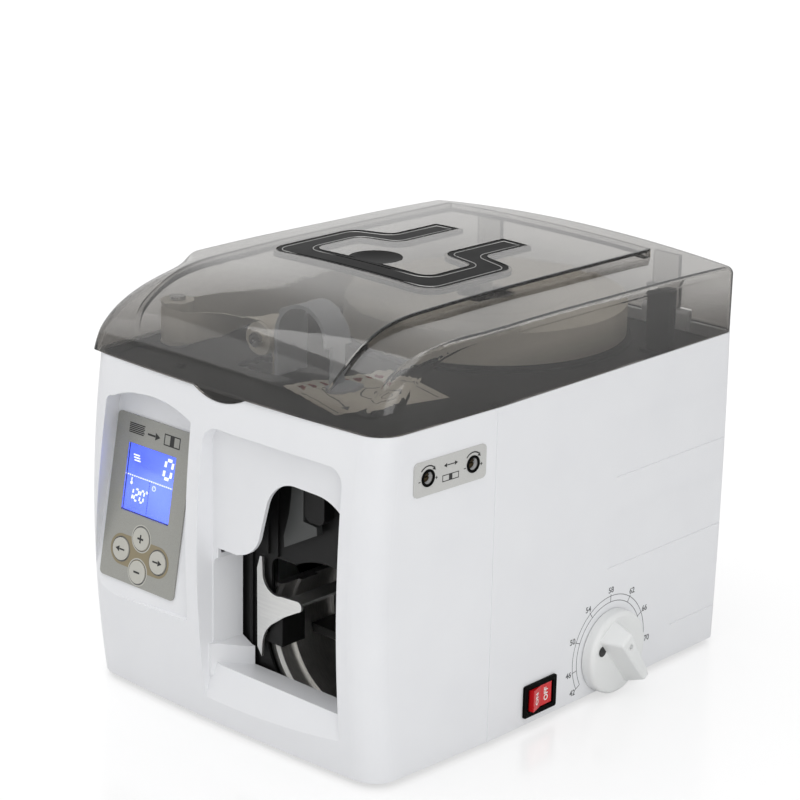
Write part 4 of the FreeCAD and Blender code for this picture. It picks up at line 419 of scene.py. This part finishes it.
def arrowhead(x, y, degrees, size):
    """Triangle that points along an angle, with its tip at (x, y)."""
    cosine, sine = polar(1, degrees)
    points = ((0, 0), (-size, HEAD_SPREAD * size), (-size, -HEAD_SPREAD * size))
    return [(x + px * cosine - py * sine, y + px * sine + py * cosine) for px, py in points]


def arrow(tail, tip, y, head, width):
    """Level arrow from x = tail to x = tip."""
    way = 1 if tip > tail else -1
    shaft_end = tip - way * (head + ARROW_GAP)
    return [bar(tail, y, shaft_end, y, width), arrowhead(tip, y, 90 - 90 * way, head)]


def bundle(x0, y0, x1, y1, border, strap):
    """Strapped bundle of notes: a frame with a band across its middle."""
    middle = (x0 + x1) / 2
    return [box(x0, y0, x1, y1),
            box(x0 + border, y0 + border, middle - strap / 2, y1 - border),
            box(middle + strap / 2, y0 + border, x1 - border, y1 - border)]


def digit_outlines(digit, wide, tall, stroke):
    """Slanted seven-segment digit with its lower left corner at (0, 0)."""
    half, gap = tall / 2, stroke * SEGMENT_GAP
    lines = {
        "a": (gap, tall, wide - gap, tall), "g": (gap, half, wide - gap, half),
        "d": (gap, 0, wide - gap, 0), "f": (0, half + gap, 0, tall - gap),
        "b": (wide, half + gap, wide, tall - gap), "e": (0, gap, 0, half - gap),
        "c": (wide, gap, wide, half - gap),
    }
    return [[(x + DIGIT_SLANT * y, y) for x, y in bar(*lines[segment], stroke)]
            for segment in SEGMENTS[digit]]


# ------------------------------------------------------------------ seats and pieces
def seat(origin, right, up):
    """Matrix from a flat piece's own (right, up, out) millimetres to the frame."""
    right, up = Vector(right).normalized(), Vector(up).normalized()
    turn = Matrix((right, up, right.cross(up))).transposed().to_4x4()
    return Matrix.Translation(at(*origin)) @ turn @ Matrix.Scale(MM, 4)


def flank_seat(origin):
    """Seat on the machine's right side: right is +Y, up is +Z."""
    return seat(origin, (0, 1, 0), (0, 0, 1))


def raised(place, out, right=0.0, up=0.0):
    """The same seat, moved in its own axes."""
    return place @ Matrix.Translation((right, up, out))


def placed(name, data, place, material, body):
    """A piece of the scene made of the data, on its body and with its slot."""
    piece = bpy.data.objects.new(name, data)
    bpy.context.scene.collection.objects.link(piece)
    piece.matrix_world = place
    data.materials.append(material)
    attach(piece, body)


def flat_piece(name, outlines, place, material, thick=INK, body="casing", bevel=0.0):
    """Thin solid with the given closed outlines; an outline inside another is a hole."""
    data = bpy.data.curves.new(name, "CURVE")
    data.dimensions = "2D"
    data.fill_mode = "BOTH"
    data.extrude = thick / 2
    data.bevel_depth = bevel
    for outline in outlines:
        add_loop(data, [(x, y, 0) for x, y in outline])
    placed(name, data, raised(place, thick / 2), material, body)


def add_loop(data, points):
    """A closed straight-sided spline through the points."""
    spline = data.splines.new("POLY")
    spline.points.add(len(points) - 1)
    for target, point in zip(spline.points, points):
        target.co = (*point, 1)
    spline.use_cyclic_u = True


def lettering(name, text, size, place, material, thick=INK, body="casing"):
    """Plain digits or a switch word, centred on the seat and slightly bold."""
    data = bpy.data.curves.new(name, "FONT")
    data.body = text
    data.size = size
    data.offset = size * LETTER_SWELL
    data.extrude = thick / 2
    data.align_x, data.align_y = "CENTER", "CENTER"
    placed(name, data, raised(place, thick / 2), material, body)


# ------------------------------------------------------------------ control panel
def panel_seat(out=PLATE_FRONT):
    place = seat(PANEL_FOOT, (1, 0, 0), (0, math.sin(PANEL_LEAN), math.cos(PANEL_LEAN)))
    return raised(place, out)


def key_cluster():
    """Olive capsule round the side keys, pale collars round plus and minus, a ring at each key."""
    holes = [moved([circle(KEY_HOLE_R)], *KEY_PLACES[key])[0] for key in ("left", "right")]
    flat_piece("key_capsule", [capsule(CAPSULE_HALF, CAPSULE_R, CAPSULE_Y)] + holes,
               panel_seat(), ink_olive)
    for key in ("plus", "minus"):
        flat_piece(f"{key}_collar", ring(COLLAR_R, KEY_HOLE_R, *KEY_PLACES[key]), panel_seat(),
                   finish["key_grey"], COLLAR_THICK)
    for key, middle in KEY_PLACES.items():
        flat_piece(f"{key}_ring", ring(KEY_RING_OUT, KEY_RING_IN, *middle), panel_seat(),
                   ink_grey, KEY_RING_THICK)


def key_signs():
    """Plus, minus and feed arrows on the keys."""
    reach, stroke, tip, tail, head, shaft = 2.6, 1.2, 4.2, 3.8, 3.4, 1.0
    signs = {
        "plus": [cross_outline(reach, stroke / 2)],
        "minus": [bar(-reach, 0, reach, 0, stroke)],
        "left": arrow(tail, -tip, 0, head, shaft),
        "right": arrow(-tail, tip, 0, head, shaft),
    }
    for key, outlines in signs.items():
        place = raised(panel_seat(KEY_FRONT), 0.0, *KEY_PLACES[key])
        flat_piece(f"{key}_sign", outlines, place, ink_black, body=f"{key}_button")


def display_face():
    """Count above, setting below, between dotted dividers; places from the glass's corner."""
    def show(name, outlines, ink):
        flat_piece(name, moved(outlines, -GLASS_W / 2, GLASS_LOW), panel_seat(DISPLAY_FRONT),
                   ink, DISPLAY_INK)

    count_at, setting_at, setting_step = (31.6, 27.0), (3.6, 7.5), 4.9
    degree_at, degree_r, degree_hole_r = (19.4, 14.6), 0.9, 0.45
    dash, dash_step = box(0.8, 21.85, 2.0, 22.55), 1.9
    digits = moved(digit_outlines("0", **COUNT_DIGIT), *count_at)
    for k, digit in enumerate("120"):
        digits += moved(digit_outlines(digit, **SETTING_DIGIT),
                        setting_at[0] + setting_step * k, setting_at[1])
    digits += ring(degree_r, degree_hole_r, *degree_at)
    digits += repeated([dash], 22, dash_step, 0)
    show("display_digits", digits, glow_white)

    thermometer_at, bulb_r, tube = (5.0, 17.6), 1.0, bar(0, 1.2, 0, 3.3, 0.9)
    clock_at, clock_r, face_r, hand = (25.0, 18.6), 1.6, 1.25, bar(0, 0, 0, 1.0, 0.3)
    notes = repeated([box(4.0, 34.6, 9.5, 35.4)], 3, 0.6, -1.6)
    thermometer = moved([circle(bulb_r), tube], *thermometer_at)
    clock = moved(ring(clock_r, face_r) + [hand], *clock_at)
    show("display_icons", notes + thermometer + clock, glow_white)

    dash, dash_step = box(20.7, 1.5, 21.1, 2.6), 1.7
    split = repeated([dash], 12, 0, dash_step)
    rim = [box(inset, inset, GLASS_W - inset, GLASS_H - inset) for inset in (0.15, 0.55)]
    show("display_lines", split + rim, ink_black)


def heading_signs():
    """Generic signs in the panel's heading: loose notes, an arrow, a strapped bundle."""
    left, right, step, thick, ragged = -22, -9, 1.1, 0.7, 0.6
    notes = [box(left, step * k, right + ragged * (k % 2), step * k + thick) for k in range(-2, 4)]
    feed = arrow(-5.5, 5.5, 0, head=4.2, width=1.2)
    strapped = bundle(9, -3.2, 23, 3.9, border=0.7, strap=3.6)
    flat_piece("heading_signs", moved(notes + feed + strapped, 0, HEADING_Y), panel_seat(),
               ink_black)


# ------------------------------------------------------------------ side marks
def dial_print():
    """Two fine rings with ticks and plain numbers round the dial."""
    place = flank_seat(DIAL_AT)
    first, last = DIAL_MARKS[0][0], DIAL_MARKS[-1][0]
    rings = [arc_band(radius, DIAL_LINE, last, first, steps=90)
             for radius in (RING_INNER, RING_OUTER)]
    ticks = [bar(*polar(RING_INNER, degrees), *polar(RING_OUTER + TICK_OVER, degrees), DIAL_LINE)
             for degrees, _ in DIAL_MARKS]
    flat_piece("dial_rings", rings, place, ink_grey)
    flat_piece("dial_ticks", ticks, place, ink_grey, BOLD_INK)
    for degrees, number in DIAL_MARKS:
        spot = raised(place, 0, *polar(NUMBER_R, degrees))
        lettering(f"dial_{number}", str(number), NUMBER_SIZE, spot, ink_grey)


def tension_print():
    """Turn arrows with minus and plus at each adjuster, a black ring of painted shade round each
    adjuster hole, and a strapped bundle between them.
    """
    along = (math.sin(TENSION_TAPER), math.cos(TENSION_TAPER), 0)
    place = raised(seat(TENSION_AT, along, (0, 0, 1)), TENSION_FRONT)
    sign_x, sign_y, minus_reach, plus_reach, stroke, head = 6.6, -1.2, 0.8, 0.9, 0.5, 2.4
    turn = moved([arc_band(radius=6.9, width=0.8, start=52, end=140, steps=16)], 0, 0.2)
    turn.append(arrowhead(5.9, 3.6, -44, head))
    minus = moved([bar(-minus_reach, 0, minus_reach, 0, stroke)], -sign_x, sign_y)
    plus = moved([cross_outline(plus_reach, stroke / 2)], sign_x, sign_y)
    marks = []
    for end, side in (("front", -1), ("rear", 1)):
        middle = side * TENSION_SPREAD
        marks += moved(turn + minus + plus, middle, 0)
        # painted shade: a black ring round the hole, standing in for the shaded inside of a wider
        # hole
        flat_piece(f"adjuster_hole_shade_{end}", ring(HOLE_SHADE_OUT, HOLE_SHADE_IN, middle), place,
                   finish["black_gloss"], HOLE_SHADE_THICK, bevel=HOLE_SHADE_BEVEL)
    marks += bundle(-6.5, -5.2, 6.5, -1.2, border=0.5, strap=2.6)
    tip, tail, arrow_y = 5.5, 2.9, 4.2
    marks += arrow(-tail, tip, arrow_y, head, width=0.6) + [arrowhead(-tip, arrow_y, 180, head)]
    flat_piece("tension_marks", marks, place, ink_black)


def rocker_words():
    """ON and OFF on the rocker's two faces, turned a quarter."""
    pivot = Vector((ROCKER_AT[0] + ROCKER_PIVOT, ROCKER_AT[1], 0))
    turn = Matrix.Rotation(ROCKER_TILT, 3, "Z")
    valley = Vector((ROCKER_VALLEY, 0, 0))
    for word, side in (("ON", -1), ("OFF", 1)):
        tip = Vector((ROCKER_TIP, side * ROCKER_HALF, 0))
        middle = (valley + tip) / 2 - Vector((ROCKER_PIVOT, 0, 0))
        up = turn @ ((tip - valley) * -side)
        spot = turn @ middle + pivot
        place = seat((spot.x, spot.y, ROCKER_AT[2]), (0, 0, 1), up)
        lettering(f"rocker_{word.lower()}", word, WORD_SIZE, place, ink_white,
                  WORD_INK, "rocker")


def knob_hole():
    """Painted shade of a set-screw hole near the end of the dial's handle: a flat black disc."""
    # painted shade: a flat black disc stands for the shaded inside of the hole
    flat_piece("knob_hole", [circle(KNOB_HOLE_R)], flank_seat(KNOB_HOLE_AT), ink_black,
               BOLD_INK, "dial")


# ------------------------------------------------------------------ under the lid
def threading_label():
    """Pale label on the deck with a generic threading diagram."""
    cosine, sine = math.cos(LABEL_TURN), math.sin(LABEL_TURN)
    place = seat(LABEL_AT, (cosine, -sine, 0), (sine, cosine, 0))
    flat_piece("threading_label", [box(0, 0, *LABEL_SIZE)], place, finish["paper"],
               LABEL_THICK)
    top = raised(place, LABEL_THICK)
    roll_at, roll_r, core_r, line, rule = (40, 44), 13, 5, 1.0, 0.8
    roll = ring(roll_r, roll_r - 1.2, *roll_at) + ring(core_r, core_r - 0.8, *roll_at)
    route = [bar(26.0, 41.0, 14, 18.6, line), bar(15.2, 17.4, 51.8, 12, line),
             arrowhead(57, 11.2, -9, 5)]
    rules = [box(16, y, 59, y + rule) for y in (3, 68)]
    flat_piece("threading_route", roll + route + rules, top, ink_grey)
    chevron_line, chevron_step = 1.5, 7.6
    chevron = [bar(4.6, 7.0, 8.0, 10.0, chevron_line), bar(8.6, 9.9, 12.0, 7.0, chevron_line)]
    flat_piece("threading_chevrons", repeated(chevron, 8, 0, chevron_step), top, ink_red)


def deck_screws():
    """Pan heads with a cross recess, standing on the deck."""
    head = [circle(SCREW_R, steps=32), cross_outline(SCREW_CROSS_ARM, SCREW_CROSS_HALF)]
    for k, (x, y) in enumerate(DECK_SCREWS):
        flat_piece(f"deck_screw_{k}", head, seat((x, y, DECK_TOP), (1, 0, 0), (0, 1, 0)),
                   finish["black_matt"], SCREW_HEAD, bevel=SCREW_BEVEL)


def rounded_loop(corners, steps=7):
    """Closed outline through (x, y, radius) corners, each one an arc."""
    points = []
    for k, (x, y, radius) in enumerate(corners):
        here = Vector((x, y))
        if radius <= 0:
            points.append(here)
            continue
        back = (Vector(corners[k - 1][:2]) - here).normalized()
        on = (Vector(corners[(k + 1) % len(corners)][:2]) - here).normalized()
        half = back.angle(on) / 2
        centre = here + (back + on).normalized() * radius / math.sin(half)
        start = here + back * radius / math.tan(half) - centre
        end = here + on * radius / math.tan(half) - centre
        sweep = start.angle_signed(end)
        for step in range(steps + 1):
            a = -sweep * step / steps
            points.append(centre + Vector((start.x * math.cos(a) - start.y * math.sin(a),
                                           start.x * math.sin(a) + start.y * math.cos(a))))
    return points


def trim_outline(inset):
    """Edge of the U-shaped lid trim, moved inwards by inset; corners are (x, y, radius)."""
    out_x, in_x = TRIM_WIDE - inset, TRIM_WIDE - TRIM_BAND + inset
    tail_out_x, tail_in_x = TRIM_NARROW - inset, TRIM_NARROW - TRIM_BAND + inset
    tail_y = TRIM_TAIL - inset
    (outer_low, outer_high), (outer_low_r, outer_high_r) = TRIM_OUTER_BEND, TRIM_OUTER_R
    (inner_low, inner_high), (inner_low_r, inner_high_r) = TRIM_INNER_BEND, TRIM_INNER_R
    front_out_r, front_in_r = TRIM_FRONT_R
    right = [(out_x, TRIM_FRONT + inset, front_out_r - inset),
             (out_x, outer_low - inset, outer_low_r - inset),
             (tail_out_x, outer_high - inset, outer_high_r + inset),
             (tail_out_x, tail_y, 0), (tail_in_x, tail_y, 0),
             (tail_in_x, inner_high + inset, inner_high_r - inset),
             (in_x, inner_low + inset, inner_low_r + inset),
             (in_x, TRIM_FRONT + TRIM_BAND - inset, front_in_r + inset)]
    corners = right + [(-x, y, r) for x, y, r in reversed(right)]
    return rounded_loop([(x + TRIM_X, y, r) for x, y, r in corners])


def trim_lines():
    """Bright wire laid in the trim's groove, all round."""
    trim = frame["nodes"]["lid_trim"]
    to_trim = trim.matrix_world.inverted()
    down = Vector((0, 0, -1))
    data = bpy.data.curves.new("trim_line", "CURVE")
    data.dimensions = "3D"
    data.bevel_depth, data.bevel_resolution = WIRE_R * MM, 2
    spots = []
    for point in trim_outline(WIRE_INSET):
        found, spot, _, _ = trim.ray_cast(to_trim @ at(point.x, point.y, ABOVE_LID), down)
        if found:
            spots.append(trim.matrix_world @ spot + Vector((0, 0, WIRE_LIFT * MM)))
    add_loop(data, spots)
    placed("trim_line", data, Matrix.Identity(4), finish["silver_line"], "lid")


# ------------------------------------------------------------------ stage
def studio():
    """Even pale studio: a surround that is whiter seen than as light, and three lamps."""
    world = bpy.data.worlds.new("studio")
    world.use_nodes = True
    bpy.context.scene.world = world
    tree = world.node_tree
    rays = add_node(tree, "LightPath").outputs
    seen = add_node(tree, "Math", [(0, rays["Is Camera Ray"]), (1, rays["Is Transmission Ray"])],
                    operation="MAXIMUM")
    bright = add_node(tree, "Math", [(0, seen.outputs[0]), (1, rays["Is Glossy Ray"])],
                      operation="MAXIMUM")
    level = add_node(tree, "MapRange", [("To Min", SURROUND_LIGHT), ("To Max", SURROUND_SEEN),
                                        ("Value", bright.outputs[0])])
    background = tree.nodes["Background"]
    tree.links.new(level.outputs["Result"], background.inputs["Strength"])
    background.inputs["Color"].default_value = WHITE
    for name, (place, size, watts) in LAMPS.items():
        data = bpy.data.lights.new(name, "AREA")
        data.shape = "RECTANGLE"
        data.size, data.size_y = size
        data.energy = watts
        light = bpy.data.objects.new(name, data)
        bpy.context.scene.collection.objects.link(light)
        light.location = place
        aim = Vector(LAMP_AIM) - Vector(place)
        light.rotation_euler = aim.to_track_quat("-Z", "Y").to_euler()


def floor():
    """Pale glossy floor that glows to the camera and keeps a soft shadow."""
    mesh = bpy.data.meshes.new("floor")
    corners = box(-FLOOR_HALF, -FLOOR_HALF, FLOOR_HALF, FLOOR_HALF)
    mesh.from_pydata([(x, y, 0) for x, y in corners], [], [(0, 1, 2, 3)])
    piece = bpy.data.objects.new("floor", mesh)
    bpy.context.scene.collection.objects.link(piece)
    look = Look("pale_floor", Roughness=0.16, Specular_IOR_Level=0.35)
    look.colour(look.noise(scale=3.0), (0.3, 0.3, 0.3, 1), (0.33, 0.33, 0.33, 1))
    rays = look.add("LightPath").outputs
    seen = look.add("Math", [(0, rays["Is Camera Ray"]), (1, rays["Is Transmission Ray"])],
                    operation="MAXIMUM")
    glow = look.add("Emission", [("Strength", FLOOR_GLOW)])
    shown = look.add("AddShader", [(0, glow.outputs[0]), (1, look.shader.outputs[0])])
    plain = look.add("BsdfDiffuse", [("Color", (0.82, 0.82, 0.82, 1))])
    mix = look.add("MixShader", [(0, seen.outputs[0]), (1, plain.outputs[0]),
                                 (2, shown.outputs[0])])
    output = look.tree.nodes["Material Output"]
    look.tree.links.new(mix.outputs[0], output.inputs["Surface"])
    mesh.materials.append(look.material)


def camera():
    """The photograph's viewpoint, from a perspective fit of the casing's edges."""
    azimuth, elevation = math.radians(CAMERA_AZIMUTH), math.radians(CAMERA_ELEVATION)
    forward = Vector((-math.sin(azimuth) * math.cos(elevation),
                      math.cos(azimuth) * math.cos(elevation), -math.sin(elevation)))
    level = Vector((math.cos(azimuth), math.sin(azimuth), 0))
    rise = level.cross(forward)
    roll = math.radians(CAMERA_ROLL)
    right = math.cos(roll) * level + math.sin(roll) * rise
    up = right.cross(forward)
    data = bpy.data.cameras.new("camera")
    data.sensor_width = CAMERA_SENSOR
    data.lens = CAMERA_LENS
    data.clip_start, data.clip_end = 0.05, 50.0
    piece = bpy.data.objects.new("camera", data)
    bpy.context.scene.collection.objects.link(piece)
    turn = Matrix((right, up, -forward)).transposed().to_4x4()
    piece.matrix_world = Matrix.Translation(at(*CAMERA_AT)) @ turn
    bpy.context.scene.camera = piece


camera()
studio()
floor()
dress_cad()
key_cluster()
key_signs()
display_face()
heading_signs()
dial_print()
tension_print()
rocker_words()
threading_label()
deck_screws()
trim_lines()
knob_hole()
bpy.context.scene.view_settings.view_transform = "Standard"
